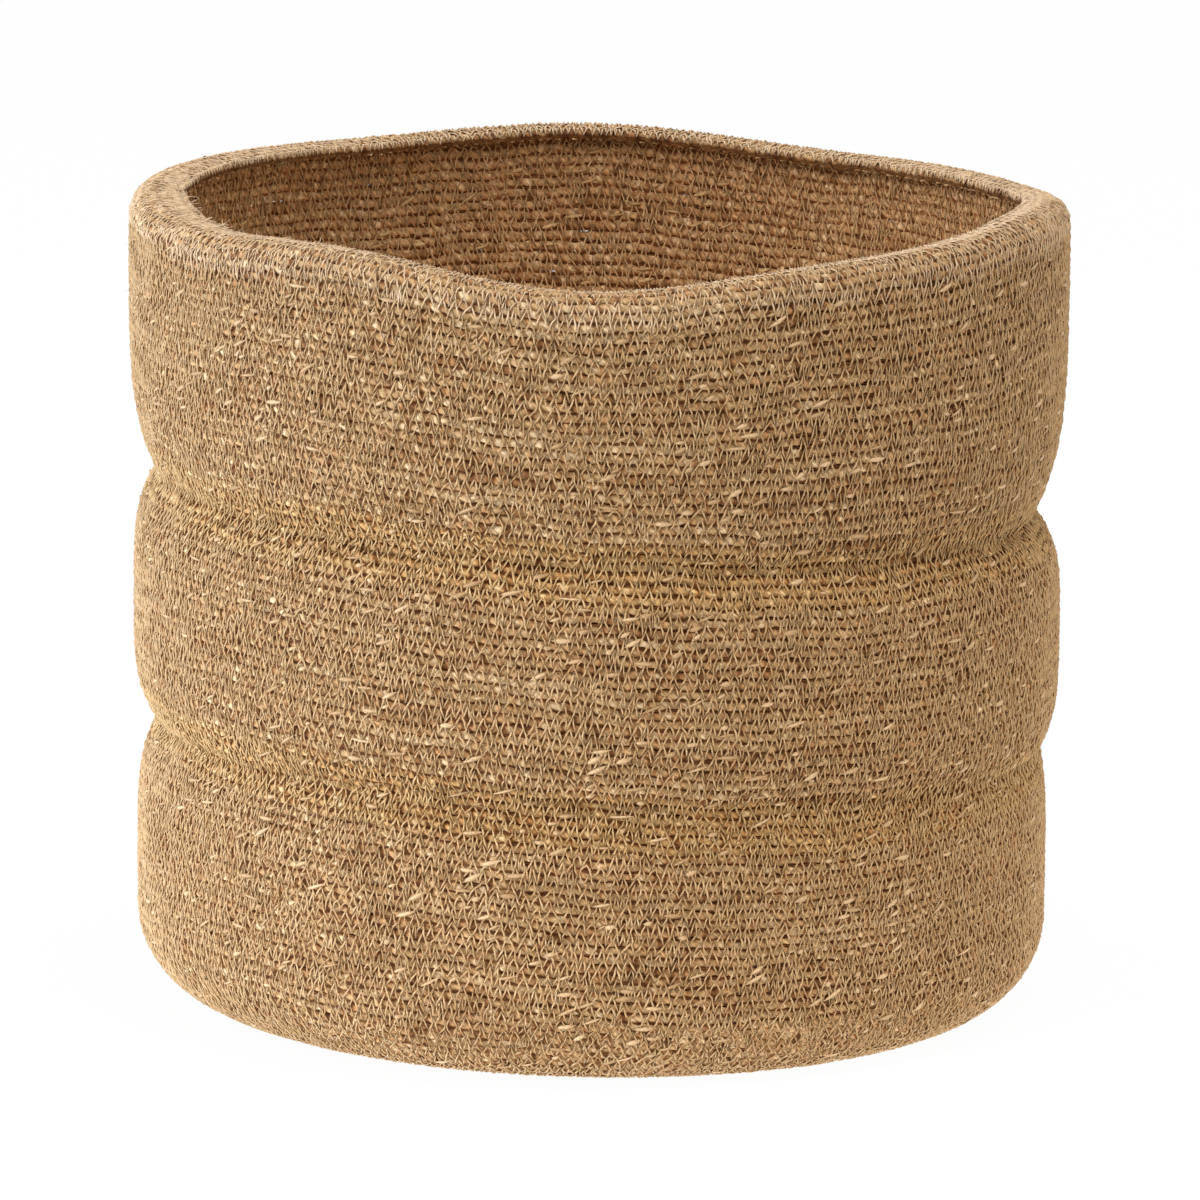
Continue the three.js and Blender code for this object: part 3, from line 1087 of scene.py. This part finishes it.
@dataclass(frozen=True)
class ThreadFinish(Finish):
    """Thin plied thread or a loose end of grass, a little lighter or darker from place to place."""

    name: str
    dark: Colour
    pale: Colour
    fuzz_size: float = 0.5 * MM
    fuzz_light: Span = (0.74, 1.18)
    roughness: float = 0.6
    bump_height: float = 0.15 * MM
    bump_strength: float = 0.6

    def surface(self, graph: NodeGraph) -> tuple[Socket, Socket]:
        """Colours the thread from its own tone and a fine fuzz.

        Args:
            graph: The material's graph.

        Returns:
            The colour, and the height of the fuzz.
        """
        tone = graph.add("ShaderNodeAttribute", attribute_name="tone").outputs["Fac"]
        colour = self.ramp(graph, tone, (self.dark, self.pale), (0.0, 1.0))
        fuzz = graph.field_noise(graph.scaled(graph.object_place(), 1 / self.fuzz_size))
        return graph.scaled(colour, graph.ranged(fuzz, NOISE_REACH, self.fuzz_light)), fuzz


GRASS = (
    linear(114, 74, 38),
    linear(162, 115, 71),
    linear(189, 147, 101),
    linear(182, 148, 102),
    linear(199, 163, 118),
    linear(217, 188, 147),
)
# Painted shade for the rim: the lip's underside inside the basket and its hidden faces are darkened.
RIM_PAINTED_SHADE = {
    "inside_painted_shading": (0.72, 0.62, 0.52),
    "painted_gap_shade": (0.56, 0.42, 0.28),
    "painted_inside_gap_shade": (0.38, 0.28, 0.18),
}
CORD_FINISHES = {
    Coil.BASE: SeagrassFinish("base_seagrass", GRASS),
    Coil.WALL: SeagrassFinish("wall_seagrass", GRASS),
    Coil.WAIST: SeagrassFinish("waist_seagrass", GRASS, (1.02, 0.97, 0.82), painted_gap_shade=(0.58, 0.41, 0.18)),
    Coil.SHOULDER: SeagrassFinish("shoulder_seagrass", GRASS, (0.91, 0.92, 0.94), **RIM_PAINTED_SHADE),
    Coil.LIP: SeagrassFinish("lip_seagrass", GRASS, (0.96, 0.99, 1.04), **RIM_PAINTED_SHADE),
}
# Painted shade: the seam filler is dark brown, standing in for the shade between courses.
SEAM_SHADE_FINISH = SeagrassFinish("seam_shade_filler", (linear(108, 68, 38), linear(136, 92, 54)))
STRAW_FINISH = ThreadFinish("straw_thread", linear(181, 143, 97), linear(200, 168, 125))
NEEDLE_FINISHES = {
    Coil.BASE: STRAW_FINISH,
    Coil.WALL: STRAW_FINISH,
    Coil.WAIST: ThreadFinish("waist_thread", linear(182, 145, 95), linear(205, 171, 123)),
    Coil.SHOULDER: ThreadFinish("shoulder_thread", linear(189, 156, 118), linear(221, 192, 155)),
    Coil.LIP: ThreadFinish("lip_thread", linear(200, 168, 131), linear(231, 204, 170)),
}
# The looper thread's own pale colour, made lighter still as painted light for the dim inside of the basket.
LOOPER_PAINTED_LIGHT_FINISH = ThreadFinish("looper_thread", linear(218, 176, 124), linear(244, 205, 152))
HAIR_FINISH = ThreadFinish("loose_hairs", linear(186, 150, 104), linear(218, 186, 140))
FRAY_FINISH = ThreadFinish("frayed_grass", linear(222, 192, 152), linear(250, 228, 194))
FLECK_FINISHES = {
    Side.OUTSIDE: ThreadFinish("outside_flecks", linear(170, 135, 94), linear(211, 178, 137), roughness=0.5),
    # The inside flecks are a lighter copy of the outside ones, painted light for the dim inside of the
    # basket.
    Side.INSIDE: ThreadFinish("inside_flecks", linear(206, 163, 110), linear(238, 200, 146), roughness=0.5),
}


@dataclass(frozen=True)
class Winding:
    """The cord's spiral way through the basket, counted in courses from the middle of the base."""

    form: BasketForm
    step: float = 3.0 * MM
    course_tries: int = 360

    @property
    def bands(self) -> list[Band]:
        """The basket's bands, from the middle of the base to the lip.

        Returns:
            The bands, each of which starts at the course at which the last one ends.
        """
        form = self.form
        low, high = (
            [form.wall_run(height - form.waist_reach), form.wall_run(height + form.waist_reach)]
            for height in (form.lower_waist_height, form.upper_waist_height)
        )
        ends = [
            ("base_centre", Coil.BASE, form.centre_radius),
            ("base_disc", Coil.BASE, form.base_end),
            ("heel", Coil.WALL, form.heel_end),
            ("lower_belly", Coil.WALL, low[0]),
            ("lower_waist", Coil.WAIST, low[1]),
            ("middle_belly", Coil.WALL, high[0]),
            ("upper_waist", Coil.WAIST, high[1]),
            ("upper_belly", Coil.WALL, form.wall_end),
            ("rim_shoulder", Coil.SHOULDER, form.shoulder_end),
            ("rim_lip", Coil.LIP, form.lip_end),
        ]
        last_courses = [form.course_at(run) for _, _, run in ends]
        first_courses = [0, *last_courses]
        return [Band(*end[:2], first, last) for end, first, last in zip(ends, first_courses, last_courses)]

    def place(self, course: np.ndarray, share: float) -> tuple[np.ndarray, np.ndarray]:
        """Angles and runs of places across the cord, along its length in courses."""
        angle = self.form.seam_angle + FULL_TURN * course
        return angle, self.form.wandered(angle, self.form.run_at(course + share))

    def spots(self, course: np.ndarray, share: float, depth: float) -> np.ndarray:
        """Points across the cord, some depth under the outer face."""
        return self.form.spot(*self.place(course, share), depth)

    def steps(self, first: float, last: float, share: float) -> np.ndarray:
        """Places along the cord at even steps, counted in courses.

        Args:
            first: Course at which the stretch starts.
            last: Course at which it ends.
            share: Place across the course, 0 at its lower seam and 0.5 at its middle.

        Returns:
            The places, in courses from the middle of the base.
        """
        course = np.linspace(first, last, round((last - first) * self.course_tries) + 1)
        gaps = np.linalg.norm(np.diff(self.spots(course, share, 0.0), axis=0), axis=1)
        length = np.concatenate([[0.0], np.cumsum(gaps)])
        even = np.linspace(0, length[-1], max(round(length[-1] / self.step), 2))
        return np.interp(even, length, course)

    def cord_path(self, band: Band, share: float, way: int = 1) -> bpy.types.Mesh:
        """The path of a band's cord or of the seam under it, in the middle of the wall.

        Args:
            band: The band that the path runs through.
            share: Place across the course, 0 at its lower seam and 0.5 at its middle.
            way: 1 where outward points out of the basket, and -1 where it points into it.

        Returns:
            A mesh of edges, which carries outward.
        """
        angle, run = self.place(self.steps(band.first_course, band.last_course, share), share)
        points = self.form.spot(angle, run, self.form.cord_thickness / 2)
        return path_mesh(points, {"outward": self.form.outward(angle, run) * way})

    def stitch_path(
        self,
        course: np.ndarray,
        share: float,
        depth: float,
        holes: tuple[np.ndarray, np.ndarray],
        way: int = 1,
    ) -> bpy.types.Mesh:
        """The path of a zigzag thread.

        Args:
            course: Places along the cord, in courses.
            share: Place across the course over which the thread swings.
            depth: Depth of the thread under the outer face.
            holes: The thread's two holes at each place, the one nearer the base first.
            way: 1 where outward points out of the basket, and -1 where it points into it.

        Returns:
            A mesh of edges, which carries climb, sag and outward.
        """
        near, far = holes
        angle, run = self.place(course, share)
        points = self.form.spot(angle, run, depth)
        ways = {
            "climb": far - near,
            "sag": (far + near) / 2 - points,
            "outward": self.form.outward(angle, run) * way,
        }
        return path_mesh(points, ways)


@dataclass(frozen=True)
class Layer:
    """A sub-assembly of the basket, made band by band along the cord's winding."""

    winding: Winding

    def pieces(self, band: Band) -> list[bpy.types.Object]:
        """Makes the layer's pieces in a band."""
        raise NotImplementedError

    def build(self, band: Band) -> int:
        """Makes the layer's pieces in a band, and rides them on the basket's one body.

        Args:
            band: The band to dress.

        Returns:
            The triangles in those pieces.
        """
        total = 0
        for piece in self.pieces(band):
            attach(piece, ROOT_BODY)
            piece.data.calc_loop_triangles()
            triangles = len(piece.data.loop_triangles)
            LOG.info("%s: %d triangles", piece.name, triangles)
            total += triangles
        return total


@dataclass(frozen=True)
class CordLook:
    """How the cord is twisted in one kind of ground."""

    radius_share: float = 0.51
    section_spacing: float = 1.85 * MM
    lay_length: float = 8.4 * MM
    lump_share: float = 0.22
    wander: float = 0.36 * MM


@dataclass(frozen=True)
class CoiledCord(Layer):
    """The cord itself, one run of it in each band."""

    wall_look: CordLook = CordLook()
    base_look: CordLook = CordLook(0.56, 3.0 * MM, 15.6 * MM, 0.14, 0.16 * MM)
    tree: TwistedCord = field(default_factory=TwistedCord)

    def pieces(self, band: Band) -> list[bpy.types.Object]:
        """Makes a band's run of cord, which stands for the band's solid.

        Args:
            band: The band to dress.

        Returns:
            The one piece.
        """
        ends = self.winding.form.run_at(np.array([band.first_course, band.last_course]))
        pitch = float(np.diff(ends)[0]) / (band.last_course - band.first_course)
        look = self.base_look if band.coil is Coil.BASE else self.wall_look
        values = {
            "Cord Radius": pitch * look.radius_share,
            "Section Spacing": look.section_spacing,
            "Lay Length": look.lay_length,
            "Lump Share": look.lump_share,
            "Wander": look.wander,
        }
        path = self.winding.cord_path(band, MIDDLE)
        piece = self.tree.make(f"{band.node}_cord", path, CORD_FINISHES[band.coil].material, values)
        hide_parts(band.node)
        return [piece]


@dataclass(frozen=True)
class ThreadLook:
    """How one thread lies in the wall."""

    spacing: float
    width_share: float
    radius: float = 0.36 * MM
    rise: float = 0.36 * MM


LOOPER_LOOK = ThreadLook(1.7 * MM, 0.85, 0.28 * MM, 0.46 * MM)


@dataclass(frozen=True)
class StitchLook:
    """How a kind of ground is sewn."""

    needle: ThreadLook
    looper: ThreadLook = LOOPER_LOOK
    stray: float = 0.8 * MM
    drift: float = 15.0 * MM
    skew: float = 0.2 * MM


RIM_STITCH = StitchLook(ThreadLook(1.6 * MM, 0.98, 0.3 * MM, 0.27 * MM), stray=0.6 * MM)
STITCHES = {
    Coil.BASE: StitchLook(ThreadLook(4.2 * MM, 0.9), replace(LOOPER_LOOK, spacing=4.2 * MM)),
    Coil.WALL: StitchLook(ThreadLook(1.55 * MM, 0.88, 0.31 * MM), stray=0.9 * MM),
    Coil.WAIST: StitchLook(ThreadLook(1.45 * MM, 0.76, 0.34 * MM)),
    Coil.SHOULDER: RIM_STITCH,
    Coil.LIP: RIM_STITCH,
}


@dataclass(frozen=True)
class Stitching(Layer):
    """The needle thread outside and the looper thread inside, one over each seam."""

    leg_points: int = 2
    tree: ZigzagThread = field(default_factory=ZigzagThread)

    def thread(self, band: Band, side: Side) -> bpy.types.Object:
        """Makes the thread on one side of a band.

        Args:
            band: The band to sew.
            side: The side of the wall that the thread lies on.

        Returns:
            The piece.
        """
        outside = side is Side.OUTSIDE
        depth = self.winding.form.cord_thickness * side.value
        course = self.winding.steps(max(band.first_course, 1), band.last_course, SEAM)
        holes = tuple(self.winding.spots(course, share, depth) for share in (-1.0, 1.0))
        path = self.winding.stitch_path(course, SEAM, depth, holes, side.way)
        stitch = STITCHES[band.coil]
        look = stitch.needle if outside else stitch.looper
        values = {
            "Stitch Spacing": look.spacing,
            "Width Share": look.width_share,
            "Thread Radius": look.radius,
            "Rise": look.rise,
            "Stray": stitch.stray,
            "Drift": stitch.drift,
            "Skew": stitch.skew,
            "Seed": band.first_course + side.value,
            "Leg Points": self.leg_points,
        }
        name = f"{band.node}_{'needle' if outside else 'looper'}_thread"
        finish = NEEDLE_FINISHES[band.coil] if outside else LOOPER_PAINTED_LIGHT_FINISH
        return self.tree.make(name, path, finish.material, values)

    def pieces(self, band: Band) -> list[bpy.types.Object]:
        """Makes a band's two threads."""
        return [self.thread(band, side) for side in Side]


@dataclass(frozen=True)
class SeamShadeFiller(Layer):
    """A dark filler in the seams between the courses, which closes the gaps there; its dark colour is
    painted shade in the seams.
    """

    radius: float = 0.85 * MM
    section_spacing: float = 7 * MM
    lump_share: float = 0.3
    sides: int = 3
    tree: TwistedCord = field(default_factory=TwistedCord)

    def pieces(self, band: Band) -> list[bpy.types.Object]:
        """Makes the dark filler in a band's seams.

        Args:
            band: The band to fill.

        Returns:
            The one piece.
        """
        values = {
            "Section Spacing": self.section_spacing,
            "Cord Radius": self.radius,
            "Sides": self.sides,
            "Lump Share": self.lump_share,
        }
        path = self.winding.cord_path(band, SEAM)
        return [self.tree.make(f"{band.node}_seam_shade_filler", path, SEAM_SHADE_FINISH.material, values)]


def strands(root: np.ndarray, way: np.ndarray, bow: np.ndarray, points: int) -> bpy.types.Mesh:
    """The paths of loose strands.

    Args:
        root: Where each strand starts, one row each.
        way: The way from there to its end, before it is bowed.
        bow: How far its end is bowed away.
        points: Points in each strand.

    Returns:
        A mesh of edges, one line for each strand.
    """
    share = np.linspace(0, 1, points)[None, :, None]
    lines = root[:, None] + way[:, None] * share + bow[:, None] * share**2
    return path_mesh(lines.reshape(-1, 3), {}, points)


def unit(rows: np.ndarray) -> np.ndarray:
    """Brings each row of an array to length 1."""
    return rows / np.linalg.norm(rows, axis=1)[:, None]


@dataclass(frozen=True)
class LooseGrass(Layer):
    """Fine hairs that stand out of the cord and thread, and pale ends of grass on the cord."""

    hairs_per_course: int = 7
    hair_length: float = 1.8 * MM
    hair_spread: Span = (0.4, 1.3)
    hair_radius: float = 0.04 * MM
    hair_taper: float = 0.8
    hair_points: int = 4
    hair_depth: float = 0.2 * MM
    # A hair's way: its pull out of the wall, its random part, and its fall at the end.
    upward: Span = (0.2, 1.0)
    looseness: float = 0.6
    droop: float = 0.25
    droop_spread: float = 0.35
    hair_tree: Strand = field(default_factory=Strand)
    fleck_tree: GrassFlecks = field(default_factory=GrassFlecks)

    def hairs(self, band: Band) -> bpy.types.Object:
        """Makes the fine loose hairs of a band.

        Args:
            band: The band to dress.

        Returns:
            The piece.
        """
        random = np.random.default_rng(band.last_course)
        count = (band.last_course - band.first_course) * self.hairs_per_course
        course = random.uniform(band.first_course, band.last_course, count)
        angle, run = self.winding.place(course, MIDDLE)
        root = self.winding.form.spot(angle, run, self.hair_depth)
        outward = self.winding.form.outward(angle, run)
        loose = random.normal(0, 1, (count, 3))
        way = unit(outward * random.uniform(*self.upward, (count, 1)) + loose * self.looseness)
        droop = random.normal(0, self.droop_spread, (count, 3)) - outward * self.droop
        length = self.hair_length * random.uniform(*self.hair_spread, (count, 1))
        path = strands(root, way * length, droop * length, self.hair_points)
        values = {
            "Strand Radius": self.hair_radius,
            "Taper": self.hair_taper,
            "Seed": band.last_course,
        }
        return self.hair_tree.make(f"{band.node}_hairs", path, HAIR_FINISH.material, values)

    def flecks(self, band: Band, side: Side) -> bpy.types.Object:
        """Makes the pale ends of grass that show on one side of a band.

        Args:
            band: The band to dress.
            side: The side that they lie on.

        Returns:
            The piece.
        """
        name = f"{band.node}_{side.name.lower()}_flecks"
        path = self.winding.cord_path(band, MIDDLE, side.way)
        seed = {"Seed": band.first_course + side.value}
        return self.fleck_tree.make(name, path, FLECK_FINISHES[side].material, seed)

    def pieces(self, band: Band) -> list[bpy.types.Object]:
        """Makes a band's hairs and ends of grass.

        Args:
            band: The band to dress.

        Returns:
            The pieces: none in the base, and only the hairs in the rim.
        """
        made = []
        if band.coil is not Coil.BASE:
            made.append(self.hairs(band))
        if band.coil in (Coil.WALL, Coil.WAIST):
            made += [self.flecks(band, side) for side in Side]
        return made


@dataclass(frozen=True)
class LipEdge(Layer):
    """The thread sewn over the lip's inner edge, and the frayed end of the cord there."""

    # The stitches over the edge, and their two holes as places across the last course.
    stitch_spacing: float = 1.05 * MM
    stitch_share: float = 0.85
    stitch_depth: float = -0.1 * MM
    stray: float = 0.35 * MM
    near_hole: float = 0.2
    far_hole: float = 1.05
    far_hole_depth: float = 1.4 * MM
    leg_points: int = 2
    # The frayed end: its middle in courses past the cord's end, and the places across the
    # course at which its fibres start before that end and past it.
    fray_seed: int = 3
    fibres: int = 80
    fray_reach: float = math.radians(12)
    fray_middle: float = 0.015
    fray_shares: Span = (0.85, -0.15)
    root_depth_mm: Span = (0.0, 1.2)
    # A fibre's pull to the mouth's middle, along the lip and out of it.
    inward: Span = (0.2, 1.0)
    sideways: float = 0.7
    upward: Span = (-0.3, 0.35)
    fibre_length: float = 5.2 * MM
    fibre_spread: Span = (0.35, 1.0)
    fibre_radius: float = 0.2 * MM
    fibre_taper: float = 0.7
    fibre_points: int = 4
    bow_spread: float = 0.25
    bow_share: float = 0.8
    thread_tree: ZigzagThread = field(default_factory=ZigzagThread)
    fibre_tree: Strand = field(default_factory=Strand)

    def edge_thread(self, band: Band) -> bpy.types.Object:
        """Makes the thread that is sewn over the lip's inner edge, down into a hole under it.

        Args:
            band: The lip's band.

        Returns:
            The piece.
        """
        course = self.winding.steps(band.last_course - 1, band.last_course, 1.0)
        holes = (
            self.winding.spots(course, self.near_hole, 0.0),
            self.winding.spots(course, self.far_hole, self.far_hole_depth),
        )
        path = self.winding.stitch_path(course, self.stitch_share, self.stitch_depth, holes)
        stitch = STITCHES[band.coil]
        values = {
            "Stitch Spacing": self.stitch_spacing,
            "Width Share": 1.0,
            "Thread Radius": stitch.needle.radius,
            "Stray": self.stray,
            "Drift": stitch.drift,
            "Leg Points": self.leg_points,
            "Seed": band.last_course + 2,
        }
        material = NEEDLE_FINISHES[band.coil].material
        return self.thread_tree.make(f"{band.node}_edge_thread", path, material, values)

    def frayed_end(self, band: Band) -> bpy.types.Object:
        """Makes the frayed grass at the end of the cord, on the lip's inner edge.

        Args:
            band: The lip's band.

        Returns:
            The piece.
        """
        form = self.winding.form
        random = np.random.default_rng(self.fray_seed)
        one_each = (self.fibres, 1)
        spread = self.fray_reach / FULL_TURN
        course = band.last_course + random.normal(self.fray_middle, spread, self.fibres)
        angle = form.seam_angle + FULL_TURN * course
        run = form.run_at(course + np.where(course < band.last_course, *self.fray_shares))
        root = form.spot(angle, run, random.uniform(*self.root_depth_mm, self.fibres) * MM)
        outward = form.outward(angle, run)
        inward = form.spot(angle, run + MM, 0.0) - form.spot(angle, run, 0.0)
        along = np.stack([-np.sin(angle), np.cos(angle), 0 * angle], axis=1)
        way = inward / MM * random.uniform(*self.inward, one_each)
        way = way + along * random.normal(0, self.sideways, one_each)
        way = unit(way + outward * random.uniform(*self.upward, one_each))
        way = way * self.fibre_length * random.uniform(*self.fibre_spread, one_each)
        bow = random.normal(0, self.bow_spread, (self.fibres, 3)) * self.fibre_length * self.bow_share
        path = strands(root, way, bow, self.fibre_points)
        values = {"Strand Radius": self.fibre_radius, "Taper": self.fibre_taper}
        return self.fibre_tree.make(f"{band.node}_frayed_end", path, FRAY_FINISH.material, values)

    def pieces(self, band: Band) -> list[bpy.types.Object]:
        """Makes the edge's two pieces in the lip's band, and none in the others."""
        return [self.edge_thread(band), self.frayed_end(band)] if band.coil is Coil.LIP else []


@dataclass(frozen=True)
class Lamp:
    """A soft lamp that points at the basket."""

    name: str
    place: tuple[float, float, float]
    size: Span
    power: float
    colour: Colour

    def hang(self, aim: Vector) -> None:
        """Hangs the lamp.

        Args:
            aim: The point that it shines at.
        """
        data = bpy.data.lights.new(self.name, "AREA")
        data.shape = "RECTANGLE"
        data.size, data.size_y = self.size
        data.energy = self.power
        data.color = self.colour
        lamp = bpy.data.objects.new(self.name, data)
        lamp.location = self.place
        lamp.rotation_euler = (aim - lamp.location).to_track_quat("-Z", "Y").to_euler()
        bpy.context.scene.collection.objects.link(lamp)


@dataclass(frozen=True)
class Studio:
    """The plain pale studio and the camera at the photograph's viewing angle."""

    distance: float = 3.2
    eye_height: float = 0.715
    aim_height: float = 0.120
    side_step: float = 0.0020
    lens: float = 322.2
    sensor: float = 36.0
    view_end: float = 20.0
    lamps: tuple[Lamp, ...] = (
        Lamp("key_lamp", (-2.5, -1.75, 1.2), (3.0, 2.0), 56.0, (1.0, 1.0, 1.0)),
        Lamp("low_left_lamp", (-2.6, -0.6, 0.2), (2.0, 0.34), 64.0, (0.82, 1.0, 1.28)),
        Lamp("top_lamp", (0.3, -0.4, 2.4), (1.0, 1.0), 31.0, (1.0, 0.99, 0.98)),
        Lamp("fill_lamp", (2.7, -2.1, 0.55), (2.0, 1.1), 19.5, (1.0, 0.86, 0.69)),
    )
    floor_reach: float = 4.0
    floor_colour: float = 0.9
    floor_glow: float = 0.8
    pool_glow: float = 1.5
    pool_reach: Span = (0.18, 0.8)
    floor_glow_seen: float = 0.97
    world_colour: Colour = (1.0, 0.975, 0.94)
    world_light: float = 0.64

    def camera(self) -> None:
        """Places the camera in front of the basket and a little above it."""
        data = bpy.data.cameras.new("camera")
        data.lens = self.lens
        data.sensor_width = self.sensor
        data.clip_end = self.view_end
        eye = bpy.data.objects.new("camera", data)
        eye.location = (self.side_step, -self.distance, self.eye_height)
        fall = math.atan2(self.eye_height - self.aim_height, self.distance)
        eye.rotation_euler = (math.pi / 2 - fall, 0, 0)
        bpy.context.scene.collection.objects.link(eye)
        bpy.context.scene.camera = eye

    def floor_material(self) -> bpy.types.Material:
        """Makes the floor's material: plain white to the camera, and to the basket a glowing floor,
        brightest in a pool round it, that paints light on its lower parts.

        Returns:
            The new material.
        """
        material = bpy.data.materials.new("floor")
        material.use_nodes = True
        graph = NodeGraph(material.node_tree)
        shader = material.node_tree.nodes["Principled BSDF"]
        shader.inputs["Base Color"].default_value = (*(self.floor_colour,) * 3, 1.0)
        shader.inputs["Roughness"].default_value = self.floor_colour
        seen = graph.add("ShaderNodeLightPath").outputs["Is Camera Ray"]
        length = graph.add("ShaderNodeVectorMath", {0: graph.object_place()}, operation="LENGTH")
        # Painted light: to the basket the floor glows, most in a pool round the basket.
        pool = graph.ranged(length.outputs["Value"], self.pool_reach, (self.pool_glow, self.floor_glow))
        strength = graph.math("MAXIMUM", seen, graph.times(graph.minus(1.0, seen), pool))
        glow = graph.out("ShaderNodeEmission", {"Color": (1.0, 1.0, 1.0, 1.0), "Strength": strength})
        share = graph.ranged(seen, (0.0, 1.0), (1.0, self.floor_glow_seen))
        both = graph.out("ShaderNodeMixShader", {0: share, 1: shader.outputs[0], 2: glow})
        graph.feed(material.node_tree.nodes["Material Output"].inputs["Surface"], both)
        return material

    def floor(self, height: float) -> None:
        """Lays a wide pale floor under the basket.

        Args:
            height: The height of the basket's lowest point.
        """
        reach = self.floor_reach
        mesh = bpy.data.meshes.new("floor")
        corners = [(x * reach, y * reach, height) for x, y in ((-1, -1), (1, -1), (1, 1), (-1, 1))]
        mesh.from_pydata(corners, [], [(0, 1, 2, 3)])
        mesh.materials.append(self.floor_material())
        floor = bpy.data.objects.new("floor", mesh)
        bpy.context.scene.collection.objects.link(floor)
        floor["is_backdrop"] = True

    def world(self) -> None:
        """Fills the studio with even light, and shows white where nothing stands."""
        world = bpy.data.worlds.new("studio")
        bpy.context.scene.world = world
        world.use_nodes = True
        graph = NodeGraph(world.node_tree)
        sky = world.node_tree.nodes["Background"]
        sky.inputs["Color"].default_value = (*self.world_colour, 1.0)
        path = graph.add("ShaderNodeLightPath")
        seen = graph.math("MAXIMUM", path.outputs["Is Camera Ray"], path.outputs["Is Glossy Ray"])
        graph.feed(sky.inputs["Strength"], graph.ranged(seen, (0.0, 1.0), (self.world_light, 1.0)))

    def build(self, floor_height: float) -> None:
        """Sets up the camera, the lamps, the floor and the world.

        Args:
            floor_height: The height of the basket's lowest point.
        """
        self.camera()
        for lamp in self.lamps:
            lamp.hang(Vector((0, 0, self.aim_height)))
        self.floor(floor_height)
        self.world()


def main() -> None:
    """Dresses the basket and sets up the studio."""
    logging.basicConfig(level=logging.INFO, format="%(name)s: %(message)s")
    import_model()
    bpy.context.scene.view_settings.view_transform = "Standard"
    winding = Winding(BasketForm())
    layers = [kind(winding) for kind in (CoiledCord, Stitching, SeamShadeFiller, LooseGrass, LipEdge)]
    total = sum(layer.build(band) for band in winding.bands for layer in layers)
    LOG.info("basket: %d triangles", total)
    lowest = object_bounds()[0].z
    Studio().build(lowest)


if __name__ == "__main__":
    main()
